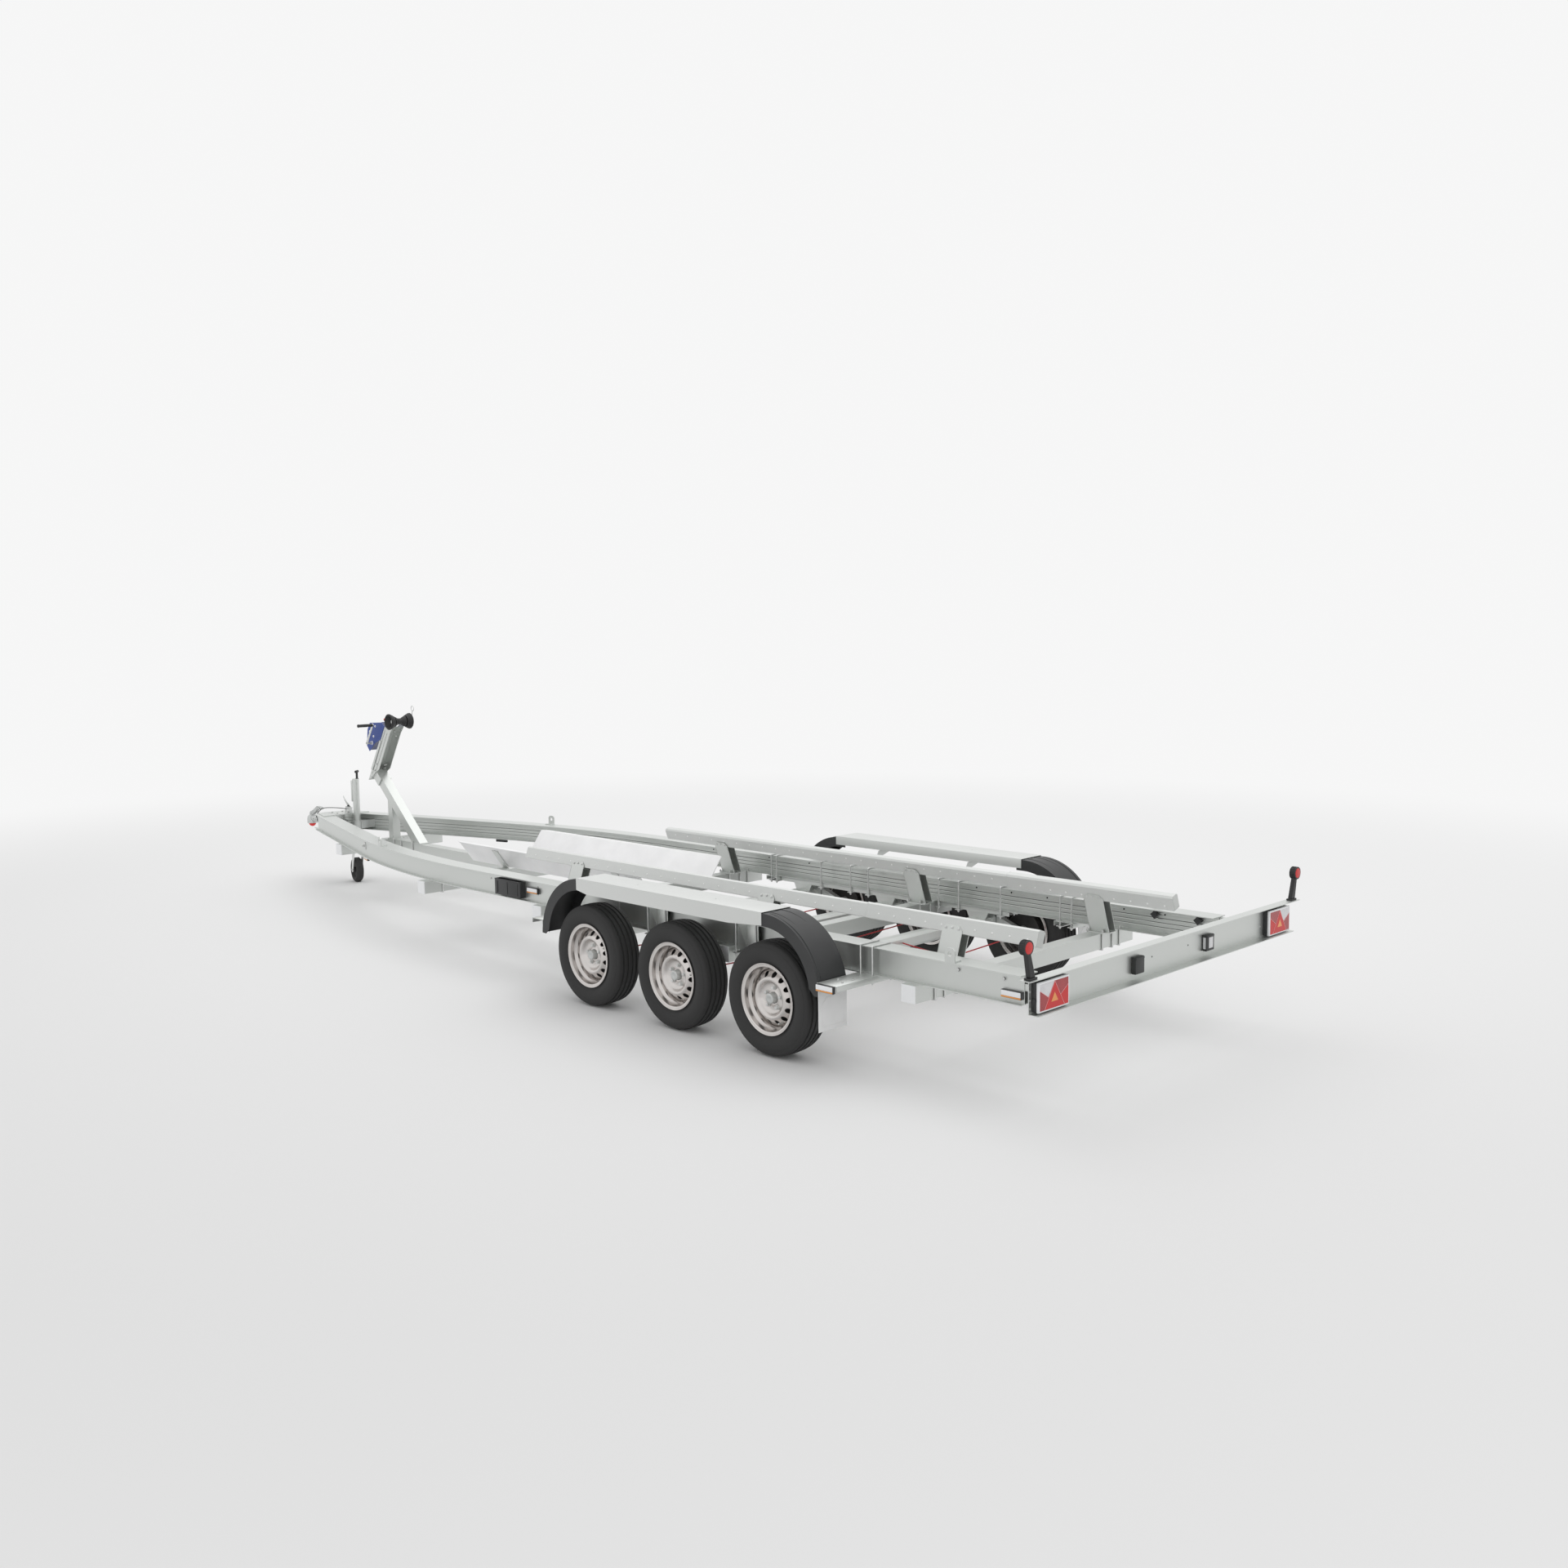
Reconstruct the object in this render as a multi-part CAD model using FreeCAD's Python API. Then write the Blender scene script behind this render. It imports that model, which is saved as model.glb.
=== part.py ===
import FreeCAD, Part
import math
import os

# Boat trailer with three axles, standing on its wheels and its jockey wheel.
# All sizes are millimetres. While it is modelled, X runs forward from the rear axle,
# Y to the left from the centreline and Z up from the ground. Each piece is then moved
# along X so that the middle of the whole trailer lies on the origin.

# Wheels
RIM_SEAT_RADIUS = 177.8
TYRE_WIDTH = 195.0
TYRE_ASPECT = 0.70
TYRE_RADIUS = RIM_SEAT_RADIUS + TYRE_WIDTH * TYRE_ASPECT
TYRE_SHOULDER_DROP = 5.0
WHEEL_CENTRE_Y = 1140.0
AXLE_COUNT = 3
AXLE_SPACING = 778.0
RIM_FLANGE_HEIGHT = 17.5
RIM_HALF_WIDTH = 84.0
RIM_FLANGE_THICKNESS = 6.0
RIM_WALL = 4.5
RIM_WELL_RADIUS = 160.0
DISC_FACE = 30.0
DISC_CREST = 62.0
DISC_CREST_RADIUS = 116.0
DISC_WALL = 4.0
HUB_FLANGE_RADIUS = 62.0
HUB_BOSS_RADIUS = 29.0
HUB_BOSS_REACH = 64.0
VENT_COUNT = 14
VENT_RADIUS = 9.5
VENT_CIRCLE_RADIUS = 134.0
DRUM_RADIUS = 125.0
DRUM_WALL = 6.0
DRUM_INNER_OFFSET = -62.0
SPINDLE_RADIUS = 17.0
SPINDLE_REACH = 48.0

# Clearances
SEAT_GAP = 0.3
RUNNING_FIT = 0.05
SLIDE_GAP = 1.5

# Main beams: a closed box web with a wide flange above and below
BEAM_BOTTOM = 484.0
BEAM_HEIGHT = 146.0
BEAM_WEB_OUTER_Y = 938.0
BEAM_WEB_WIDTH = 40.0
BEAM_WALL = 3.5
BEAM_FLANGE = 5.0
BEAM_FLANGE_INNER = 66.0
BEAM_FLANGE_OUTER = 28.0
BEAM_GROOVE_HEIGHTS = (0.24, 0.42, 0.60, 0.78)
BEAM_GROOVE_DEPTH = 1.6
BEAM_GROOVE_WIDTH = 9.0
BEAM_REAR_X = -1455.0
BEND_START_X = 3260.0
BEND_OUTER_RADIUS = 7410.0
BEND_ANGLE = 16.0
BEAM_FRONT_X = 7060.0

# Cross tubes under the beams and the spine between the two front ones
TUBE_SIZE = 90.0
TUBE_WALL = 4.0
CAP_THICKNESS = 5.0
CAP_SPIGOT = 14.0
TUBE_CENTRES_X = (-795.0, 575.0, 2385.0, 3825.0, 6015.0)
TUBE_HALF_LENGTHS = (1000.0, 1000.0, 1000.0, 1000.0, 490.0)

# Rails, axle tubes and trailing arms
RAIL_HEIGHT = 29.0
RAIL_WIDTH = 92.0
RAIL_WALL = 5.0
RAIL_INNER_Y = 836.0
RAIL_REAR_X = -60.0
RAIL_FRONT_X = 2055.0
RAIL_TUBE_GAP = 12.0
AXLE_LEAD = 190.0
AXLE_TUBE_Z = 385.0
AXLE_TUBE_SIZE = 80.0
AXLE_TUBE_WALL = 6.0
AXLE_TUBE_CORNER = 18.0
AXLE_TUBE_HALF_LENGTH = 978.0
ARM_INNER_Y = 984.0
ARM_THICKNESS = 42.0
ARM_ROOT_RADIUS = 42.0
ARM_TIP_RADIUS = 38.0
ARM_SHAFT_INSET = 60.0
BACKPLATE_THICKNESS = 3.5

# U-bolts that clamp rails and mudguard stays to the beams
CLAMP_ROD_RADIUS = 5.0
CLAMP_PLATE_THICKNESS = 6.0
CLAMP_PLATE_WIDTH = 40.0
CLAMP_MARGIN = 12.0
CLAMP_THREAD = 14.0
MITRED = 1

# Mudguards
GUARD_TOP_Z = 789.0
GUARD_INNER_Y = 1037.5
GUARD_OUTER_Y = 1257.0
GUARD_SHEET = 3.0
GUARD_SKIRT = 65.0
GUARD_CHAMFER = 45.0
GUARD_OVERRUN = 60.0
GUARD_STAY_DROP = 8.0
QUARTER_RADIUS = 449.0
QUARTER_SWEEP = 78.0
QUARTER_LAP = 30.0
QUARTER_SETBACK = 10.0
QUARTER_WALL = 4.0
QUARTER_LIP = 26.0
QUARTER_RIB_HEIGHT = 3.0
QUARTER_RIB_WIDTH = 14.0
QUARTER_RIBS = 4
STAY_WIDTH = 190.0
STAY_PLATE = 5.0
STAY_POST = 40.0
END_BAR_SIZE = 30.0
END_BAR_WALL = 3.0
FLAP_THICKNESS = 4.0
FLAP_BOTTOM = 222.0

# Bunks that carry the hull
BUNK_TILT = 19.0
BUNK_CENTRE_Y = 636.5
BUNK_CENTRE_Z = 736.0
BUNK_WIDTH = 56.0
BUNK_HEIGHT = 86.0
BUNK_WALL = 2.6
BUNK_CHAMFER = 10.0
BUNK_REAR_X = -1335.0
BUNK_JOINT_X = -210.0
BUNK_OVERLAP = 300.0
BUNK_FRONT_X = 2975.0
POST_LENGTH = 130.0
POST_PLATE = 5.0
POST_SETBACK = 20.0
POST_LAP = 36.0
POST_FOOT = 8.0
POST_FOOT_MARGIN = 22.0

# Guide plates for the keel
GUIDE_REAR_X = 2110.0
GUIDE_FRONT_X = 4280.0
GUIDE_TOP_Y = 422.0
GUIDE_TOP_Z = 666.0
GUIDE_ANGLE = 54.0
GUIDE_LENGTH = 205.0
GUIDE_PLATE = 5.0
GUIDE_LIP = 38.0
GUIDE_LIP_CHAMFER = 60.0
GUIDE_FOOT = 110.0
GUIDE_BRACKET_WIDTH = 70.0

# Tie-down eyes
EYE_WIDTH = 62.0
EYE_HEIGHT = 72.0
EYE_PLATE = 8.0
EYE_HOLE_RADIUS = 13.0
REAR_EYE_X = -1030.0
FRONT_EYE_X = 4735.0

# Winch post and bracket on the centreline
POST_TUBE = 80.0
POST_TUBE_WALL = 4.0
POST_FOOT_X = 5510.0
POST_HEAD_X = 6150.0
POST_HEAD_Z = 1050.0
STRUT_FRONT_X = 5970.0
STRUT_SIZE = 70.0
BASE_PLATE = 8.0
BASE_PLATE_MARGIN = 30.0
BRACKET_LEAN = 33.0
BRACKET_BELOW = 105.0
BRACKET_ABOVE = 530.0
BRACKET_WIDTH = 112.0
BRACKET_DEPTH = 100.0
BRACKET_WALL = 5.0
BRACKET_TOE = 190.0
BRACKET_BROW = 65.0

# Bow roller
ROLLER_X = 5780.0
ROLLER_Z = 1520.0
ROLLER_RIM_RADIUS = 67.0
ROLLER_WAIST_RADIUS = 27.0
ROLLER_HALF_WIDTH = 105.0
ROLLER_WAIST_HALF = 14.0
ROLLER_BELL_DEPTH = 42.0
ROLLER_BELL_WALL = 9.0
ROLLER_CLEARANCE = 1.0
PIN_RADIUS = 8.0
PIN_NUT_RADIUS = 14.0
PIN_NUT_THICKNESS = 10.0
TONGUE_RADIUS = 20.0

# Winch
WINCH_WIDTH = 104.0
WINCH_WALL = 4.0
WINCH_DRUM_RADIUS = 34.0
CRANK_LENGTH = 195.0
CRANK_BAR = 24.0
CRANK_THICKNESS = 6.0
CRANK_SHAFT_RADIUS = 9.0
CRANK_OFFSET = 62.0
GRIP_RADIUS = 14.0
GRIP_LENGTH = 140.0
KNOB_RADIUS = 20.0
KNOB_LENGTH = 34.0
HOOK_WIRE_RADIUS = 3.0
HOOK_LOOP_RADIUS = 22.0

# Drawbar, overrun device and coupling
HOUSING_REAR_X = 6840.0
HOUSING_FRONT_X = 7150.0
HOUSING_Z = 545.0
HOUSING_RADIUS = 42.0
DRAWTUBE_RADIUS = 25.0
GAITER_FRONT_X = 7290.0
BALL_X = 7458.0
BALL_Z = 505.0
BALL_RADIUS = 25.0
SOFT_BALL_RADIUS = 29.0
HEAD_RADIUS = 40.0
COUPLING_TIP_X = 7550.0
NOSE_PLATE = 8.0
LEVER_LEAN = 30.0
LEVER_LENGTH = 200.0
LEVER_WIDTH = 22.0
LEVER_THICKNESS = 8.0
LEVER_GRIP = 95.0
LEVER_GRIP_RADIUS = 11.0

# Jockey wheel
JOCKEY_X = 6700.0
JOCKEY_Y = -58.0
JOCKEY_TUBE_RADIUS = 30.0
JOCKEY_TUBE_WALL = 3.5
JOCKEY_TUBE_BOTTOM = 415.0
JOCKEY_TUBE_TOP = 960.0
JOCKEY_LEG_TOP = 640.0
JOCKEY_HEADING = -12.4
JOCKEY_TRAIL = 75.0
JOCKEY_WHEEL_RADIUS = 112.0
JOCKEY_WHEEL_WIDTH = 64.0
JOCKEY_FORK_PLATE = 5.0
JOCKEY_FORK_WIDTH = 44.0
JOCKEY_AXLE_RADIUS = 8.0
JOCKEY_HUB_RADIUS = 18.0
CLAMP_RADIUS = 40.0
CLAMP_HEIGHT = 70.0

# Light bar that slides in the rear ends of the beams
BAR_REAR_X = -1738.0
BAR_FRONT_X = -1680.0
BAR_BOTTOM = 535.0
BAR_TOP = 707.0
BAR_WALL = 4.0
BAR_TOP_HALF = 1288.0
BAR_HALF = 1223.0
SLIDE_FRONT_X = -700.0
SLIDE_WIDTH = 29.0
SLIDE_HEIGHT = 70.0
SLIDE_SLOT_Z = 596.0
SLIDE_SLOT_HEIGHT = 16.0
SLIDE_SLOT_REAR_X = -1590.0
SLIDE_SLOT_FRONT_X = -725.0
KNOB_XS = (-1065.0, -1340.0)
KNOB_BOLT_RADIUS = 5.0
LAMP_WIDTH = 240.0
LAMP_HEIGHT = 140.0
LAMP_CENTRE_Y = 1082.0
LAMP_CENTRE_Z = 614.0
LAMP_DEPTH = 39.0
LAMP_FRAME = 9.0
LAMP_LENS_DEPTH = 10.0

# Small lamps and fittings
MARKER_LENGTH = 120.0
MARKER_HEIGHT = 34.0
MARKER_DEPTH = 22.0
OUTLINE_HEAD_RADIUS = 30.0
OUTLINE_HEAD_DEPTH = 34.0
OUTLINE_LEAN = 42.0
OUTLINE_RISE = 128.0
OUTLINE_FOOT = 60.0

# Worked-out places
BEAM_TOP = BEAM_BOTTOM + BEAM_HEIGHT
BEAM_WEB_INNER_Y = BEAM_WEB_OUTER_Y - BEAM_WEB_WIDTH
BEAM_OUTER_EDGE_Y = BEAM_WEB_OUTER_Y + BEAM_FLANGE_OUTER
BEAM_INNER_EDGE_Y = BEAM_WEB_INNER_Y - BEAM_FLANGE_INNER
BEND_CENTRE_Y = BEAM_OUTER_EDGE_Y - BEND_OUTER_RADIUS
TUBE_TOP = BEAM_BOTTOM
TUBE_BOTTOM = TUBE_TOP - TUBE_SIZE
AXLE_XS = [index * AXLE_SPACING for index in range(AXLE_COUNT)]
FIRST_AXLE_X = AXLE_XS[-1]
STAY_XS = [x + AXLE_SPACING / 2 for x in AXLE_XS]
QUARTER_CENTRE_Z = GUARD_TOP_Z - QUARTER_RADIUS
QUARTER_TOP_Z = GUARD_TOP_Z - GUARD_SHEET - SEAT_GAP
QUARTER_REAR_X = AXLE_XS[0] - QUARTER_SETBACK
QUARTER_FRONT_X = FIRST_AXLE_X + GUARD_OVERRUN + QUARTER_SETBACK
QUARTER_REACH = (QUARTER_TOP_Z - QUARTER_CENTRE_Z) * math.sin(math.radians(QUARTER_SWEEP))
END_BAR_X = QUARTER_REAR_X - QUARTER_REACH - SEAT_GAP - END_BAR_SIZE / 2
HEAD_TOP = HOUSING_Z + DRAWTUBE_RADIUS + 8.0
JOCKEY_LEG_RADIUS = JOCKEY_TUBE_RADIUS - JOCKEY_TUBE_WALL - RUNNING_FIT
ARM_SHAFT_RADIUS = AXLE_TUBE_SIZE / 2 - AXLE_TUBE_WALL - SEAT_GAP
MIDDLE_X = (COUPLING_TIP_X + BAR_REAR_X) / 2
LEFT = 1
RIGHT = -1


def vec(x, y, z):
    """Point or direction."""
    return FreeCAD.Vector(x, y, z)


def box(x, y, z):
    """Box between two limits on each axis."""
    return Part.makeBox(x[1] - x[0], y[1] - y[0], z[1] - z[0], vec(x[0], y[0], z[0]))


def rod(start, end, radius):
    """Round bar from one point to another."""
    axis = end.sub(start)
    return Part.makeCylinder(radius, axis.Length, start, axis)


def bar_y(x, z, y, radius):
    """Round bar along Y between two limits."""
    return rod(vec(x, y[0], z), vec(x, y[1], z), radius)


def closed_face(points):
    """Flat face inside a closed outline."""
    return Part.Face(Part.makePolygon(points + points[:1]))


def prism_x(outline, x):
    """Outline of (y, z) points drawn along X between two limits."""
    face = closed_face([vec(x[0], y, z) for y, z in outline])
    return face.extrude(vec(x[1] - x[0], 0, 0))


def prism_y(outline, y):
    """Outline of (x, z) points drawn along Y between two limits."""
    face = closed_face([vec(px, y[0], pz) for px, pz in outline])
    return face.extrude(vec(0, y[1] - y[0], 0))


def prism_z(outline, z):
    """Outline of (x, y) points drawn up between two heights."""
    face = closed_face([vec(px, py, z[0]) for px, py in outline])
    return face.extrude(vec(0, 0, z[1] - z[0]))


def turned(outline):
    """Outline of (offset, radius) points turned round the Y axis."""
    face = closed_face([vec(0, offset, radius) for offset, radius in outline])
    return face.revolve(vec(0, 0, 0), vec(0, 1, 0), 360)


def joined(shapes):
    """One solid from shapes that touch or cross."""
    return shapes[0].multiFuse(shapes[1:]).removeSplitter()


def moved(shape, x=0.0, y=0.0, z=0.0):
    """Copy of a shape moved by an offset."""
    copy = shape.copy()
    copy.translate(vec(x, y, z))
    return copy


def mirrored(shape):
    """Copy of a shape on the other side of the centreline."""
    return shape.mirror(vec(0, 0, 0), vec(0, 1, 0))


def both_sides(shapes):
    """Shapes of the left side with their mirror images."""
    return shapes + [mirrored(shape) for shape in shapes]


def leaning(shape, degrees, centre):
    """Copy of a shape turned about an X axis through a centre."""
    copy = shape.copy()
    copy.rotate(centre, vec(1, 0, 0), degrees)
    return copy


def write(name, shapes):
    """Move the solids of one piece to the shared frame and write them."""
    whole = shapes[0] if len(shapes) == 1 else Part.makeCompound(shapes)
    moved(whole, x=-MIDDLE_X).exportStep("parts/" + name + ".step")


def tyre():
    """Tyre round its own centre, its axis along Y."""
    bead = RIM_SEAT_RADIUS + SEAT_GAP
    bead_half = RIM_HALF_WIDTH - RIM_FLANGE_THICKNESS - SEAT_GAP
    flange_radius = RIM_SEAT_RADIUS + RIM_FLANGE_HEIGHT + 2.0
    half = TYRE_WIDTH / 2
    tread_half = half * 0.74
    tread_radius = TYRE_RADIUS - TYRE_SHOULDER_DROP
    wall_radius = TYRE_RADIUS - 20.0
    wall_half = half * 0.88
    middle_radius = (bead + TYRE_RADIUS) / 2

    def point(side, offset, radius):
        return vec(0, side * offset, radius)

    edges = [Part.makeLine(point(LEFT, bead_half, bead), point(RIGHT, bead_half, bead))]
    for side in (LEFT, RIGHT):
        edges.append(Part.makeLine(point(side, bead_half, bead), point(side, bead_half, flange_radius)))
        wall = Part.Arc(point(side, bead_half, flange_radius), point(side, half, middle_radius),
                        point(side, wall_half, wall_radius))
        edges.append(wall.toShape())
        shoulder = Part.makeLine(point(side, wall_half, wall_radius),
                                 point(side, tread_half, tread_radius))
        edges.append(shoulder)
    crown = Part.Arc(point(RIGHT, tread_half, tread_radius), vec(0, 0, TYRE_RADIUS),
                     point(LEFT, tread_half, tread_radius))
    edges.append(crown.toShape())
    section = Part.Face(Part.Wire(Part.__sortEdges__(edges)))
    return section.revolve(vec(0, 0, 0), vec(0, 1, 0), 360)


def rim_barrel():
    """Rim with its flanges, bead seats and well."""
    half = RIM_HALF_WIDTH
    inside = half - RIM_FLANGE_THICKNESS
    lip = RIM_SEAT_RADIUS + RIM_FLANGE_HEIGHT
    well = RIM_WELL_RADIUS
    outer = [(-half, lip), (-inside, lip), (-inside, RIM_SEAT_RADIUS), (-52, RIM_SEAT_RADIUS - 2),
             (-36, well), (14, well), (36, RIM_SEAT_RADIUS - 2), (inside, RIM_SEAT_RADIUS),
             (inside, lip), (half, lip)]
    inner = [(half, lip - 7), (inside, RIM_SEAT_RADIUS - RIM_WALL), (38, RIM_SEAT_RADIUS - 2 - RIM_WALL),
             (16, well - RIM_WALL), (-38, well - RIM_WALL), (-54, RIM_SEAT_RADIUS - 2 - RIM_WALL),
             (-inside, RIM_SEAT_RADIUS - RIM_WALL), (-half, lip - 7)]
    return turned(outer + inner)


def rim_disc():
    """Dished disc of the rim with its ring of vent holes."""
    edge = RIM_WELL_RADIUS - RIM_WALL + 1.0
    hole = HUB_BOSS_RADIUS + SEAT_GAP
    front = [(DISC_FACE, hole), (DISC_FACE, HUB_FLANGE_RADIUS), (DISC_CREST, DISC_CREST_RADIUS - 12),
             (DISC_CREST, DISC_CREST_RADIUS), (12, edge)]
    back = [(12 - DISC_WALL, edge), (DISC_CREST - DISC_WALL - 2, DISC_CREST_RADIUS - 2),
            (DISC_CREST - DISC_WALL - 2, DISC_CREST_RADIUS - 10),
            (DISC_FACE - DISC_WALL, HUB_FLANGE_RADIUS + 2), (DISC_FACE - DISC_WALL, hole)]
    disc = turned(front + back)
    vents = []
    for index in range(VENT_COUNT):
        angle = 2 * math.pi * index / VENT_COUNT
        x = VENT_CIRCLE_RADIUS * math.cos(angle)
        z = VENT_CIRCLE_RADIUS * math.sin(angle)
        vents.append(bar_y(x, z, (0, DISC_CREST + DISC_WALL), VENT_RADIUS))
    return disc.cut(vents)


def rim():
    """Barrel and disc as one welded rim."""
    return joined([rim_barrel(), rim_disc()])


def hub_and_drum():
    """Brake drum with hub and cap, hollow for the spindle and open to the inside."""
    bore = SPINDLE_RADIUS + RUNNING_FIT
    face = DISC_FACE - DISC_WALL - SEAT_GAP
    outline = [(DRUM_INNER_OFFSET, DRUM_RADIUS), (-4, DRUM_RADIUS), (0, DRUM_RADIUS - 4),
               (0, HUB_FLANGE_RADIUS), (face, HUB_FLANGE_RADIUS), (face, HUB_BOSS_RADIUS),
               (HUB_BOSS_REACH - 8, HUB_BOSS_RADIUS), (HUB_BOSS_REACH, HUB_BOSS_RADIUS - 8),
               (HUB_BOSS_REACH, 0), (SPINDLE_REACH + 2, 0), (SPINDLE_REACH + 2, bore),
               (DRUM_INNER_OFFSET + 12, bore), (DRUM_INNER_OFFSET + 12, bore * 2),
               (-8, bore * 2), (-8, DRUM_RADIUS - DRUM_WALL),
               (DRUM_INNER_OFFSET, DRUM_RADIUS - DRUM_WALL)]
    return turned(outline)


def place_wheel(shape, x, side):
    """Copy of a wheel piece at one end of an axle, its face outward."""
    placed = moved(shape, x=x, y=WHEEL_CENTRE_Y, z=TYRE_RADIUS)
    return placed if side == LEFT else mirrored(placed)


def write_wheels():
    """Tyre and rim with hub for each of the six wheels."""
    places = ("rear", "middle", "front")
    tyre_shape = tyre()
    rim_shape = rim()
    hub_shape = hub_and_drum()
    for place, x in zip(places, AXLE_XS):
        for side, side_name in ((LEFT, "left"), (RIGHT, "right")):
            name = place + "_" + side_name
            write("tyre_" + name, [place_wheel(tyre_shape, x, side)])
            write("wheel_rim_" + name, [place_wheel(rim_shape, x, side), place_wheel(hub_shape, x, side)])


def beam_outline():
    """Outer outline of the left beam's section as (y, z) points."""
    web_in = BEAM_WEB_INNER_Y
    points = [(BEAM_INNER_EDGE_Y, BEAM_BOTTOM), (BEAM_OUTER_EDGE_Y, BEAM_BOTTOM),
              (BEAM_OUTER_EDGE_Y, BEAM_BOTTOM + BEAM_FLANGE), (BEAM_WEB_OUTER_Y, BEAM_BOTTOM + BEAM_FLANGE),
              (BEAM_WEB_OUTER_Y, BEAM_TOP - BEAM_FLANGE), (BEAM_OUTER_EDGE_Y, BEAM_TOP - BEAM_FLANGE),
              (BEAM_OUTER_EDGE_Y, BEAM_TOP), (BEAM_INNER_EDGE_Y, BEAM_TOP),
              (BEAM_INNER_EDGE_Y, BEAM_TOP - BEAM_FLANGE), (web_in, BEAM_TOP - BEAM_FLANGE)]
    for share in reversed(BEAM_GROOVE_HEIGHTS):
        z = BEAM_BOTTOM + share * BEAM_HEIGHT
        points += [(web_in, z + BEAM_GROOVE_WIDTH / 2), (web_in + BEAM_GROOVE_DEPTH, z),
                   (web_in, z - BEAM_GROOVE_WIDTH / 2)]
    points += [(web_in, BEAM_BOTTOM + BEAM_FLANGE), (BEAM_INNER_EDGE_Y, BEAM_BOTTOM + BEAM_FLANGE)]
    return points


def beam_run(outline):
    """Outline drawn along the beam: straight, bent inwards, then straight to the nose."""
    rear = closed_face([vec(BEAM_REAR_X, y, z) for y, z in outline])
    straight = rear.extrude(vec(BEND_START_X - BEAM_REAR_X, 0, 0))
    start = closed_face([vec(BEND_START_X, y, z) for y, z in outline])
    centre = vec(BEND_START_X, BEND_CENTRE_Y, 0)
    bend = start.revolve(centre, vec(0, 0, -1), BEND_ANGLE)
    end = start.copy()
    end.rotate(centre, vec(0, 0, -1), BEND_ANGLE)
    angle = math.radians(BEND_ANGLE)
    bend_end_x = BEND_START_X + BEND_OUTER_RADIUS * math.sin(angle)
    length = (BEAM_FRONT_X - bend_end_x) / math.cos(angle)
    nose = end.extrude(vec(length * math.cos(angle), -length * math.sin(angle), 0))
    return joined([straight, bend, nose])


def main_beam():
    """Left beam with its closed web."""
    wall = BEAM_WALL
    cavity = [(BEAM_WEB_INNER_Y + wall, BEAM_BOTTOM + BEAM_FLANGE), (BEAM_WEB_OUTER_Y - wall, BEAM_BOTTOM + BEAM_FLANGE),
              (BEAM_WEB_OUTER_Y - wall, BEAM_TOP - BEAM_FLANGE), (BEAM_WEB_INNER_Y + wall, BEAM_TOP - BEAM_FLANGE)]
    holes = []
    for x in KNOB_XS:
        holes.append(bar_y(x, SLIDE_SLOT_Z, (BEAM_WEB_INNER_Y - 1, BEAM_WEB_OUTER_Y + 1), KNOB_BOLT_RADIUS + SEAT_GAP))
    return beam_run(beam_outline()).cut(beam_run(cavity)).cut(holes)


def square_tube_y(x, y, size, wall, z_top):
    """Square tube along Y with open ends."""
    outside = box((x - size / 2, x + size / 2), y, (z_top - size, z_top))
    inside = box((x - size / 2 + wall, x + size / 2 - wall), y, (z_top - size + wall, z_top - wall))
    return outside.cut(inside)


def cross_tubes():
    """Square tubes that carry the beams from below."""
    return [square_tube_y(x, (-half, half), TUBE_SIZE, TUBE_WALL, TUBE_TOP)
            for x, half in zip(TUBE_CENTRES_X, TUBE_HALF_LENGTHS)]


def tube_cap(x, half):
    """Plastic cap in the left end of a cross tube."""
    plate = box((x - TUBE_SIZE / 2, x + TUBE_SIZE / 2), (half, half + CAP_THICKNESS), (TUBE_BOTTOM, TUBE_TOP))
    inset = TUBE_WALL + SEAT_GAP
    spigot = box((x - TUBE_SIZE / 2 + inset, x + TUBE_SIZE / 2 - inset), (half - CAP_SPIGOT, half),
                 (TUBE_BOTTOM + inset, TUBE_TOP - inset))
    return joined([plate, spigot])


def tube_caps():
    """Caps in both ends of each cross tube."""
    return both_sides([tube_cap(x, half) for x, half in zip(TUBE_CENTRES_X, TUBE_HALF_LENGTHS)])


def spine_tube():
    """Square tube on the centreline between the two front cross tubes."""
    x = (TUBE_CENTRES_X[3] + TUBE_SIZE / 2, TUBE_CENTRES_X[4] - TUBE_SIZE / 2)
    half = TUBE_SIZE / 2
    outside = box(x, (-half, half), (TUBE_BOTTOM, TUBE_TOP))
    inside = box(x, (-half + TUBE_WALL, half - TUBE_WALL), (TUBE_BOTTOM + TUBE_WALL, TUBE_TOP - TUBE_WALL))
    return outside.cut(inside)


def rail(x):
    """Channel rail under the left beam, open below, between two places along X."""
    y = (RAIL_INNER_Y, RAIL_INNER_Y + RAIL_WIDTH)
    bottom = BEAM_BOTTOM - RAIL_HEIGHT
    outside = box(x, y, (bottom, BEAM_BOTTOM))
    inside = box(x, (y[0] + RAIL_WALL, y[1] - RAIL_WALL), (bottom, BEAM_BOTTOM - RAIL_WALL))
    return outside.cut(inside)


def axle_rails():
    """Rails of both sides, each in two lengths with a cross tube between them."""
    tube_x = TUBE_CENTRES_X[1]
    gap = TUBE_SIZE / 2 + RAIL_TUBE_GAP
    return both_sides([rail((RAIL_REAR_X, tube_x - gap)), rail((tube_x + gap, RAIL_FRONT_X))])


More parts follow.
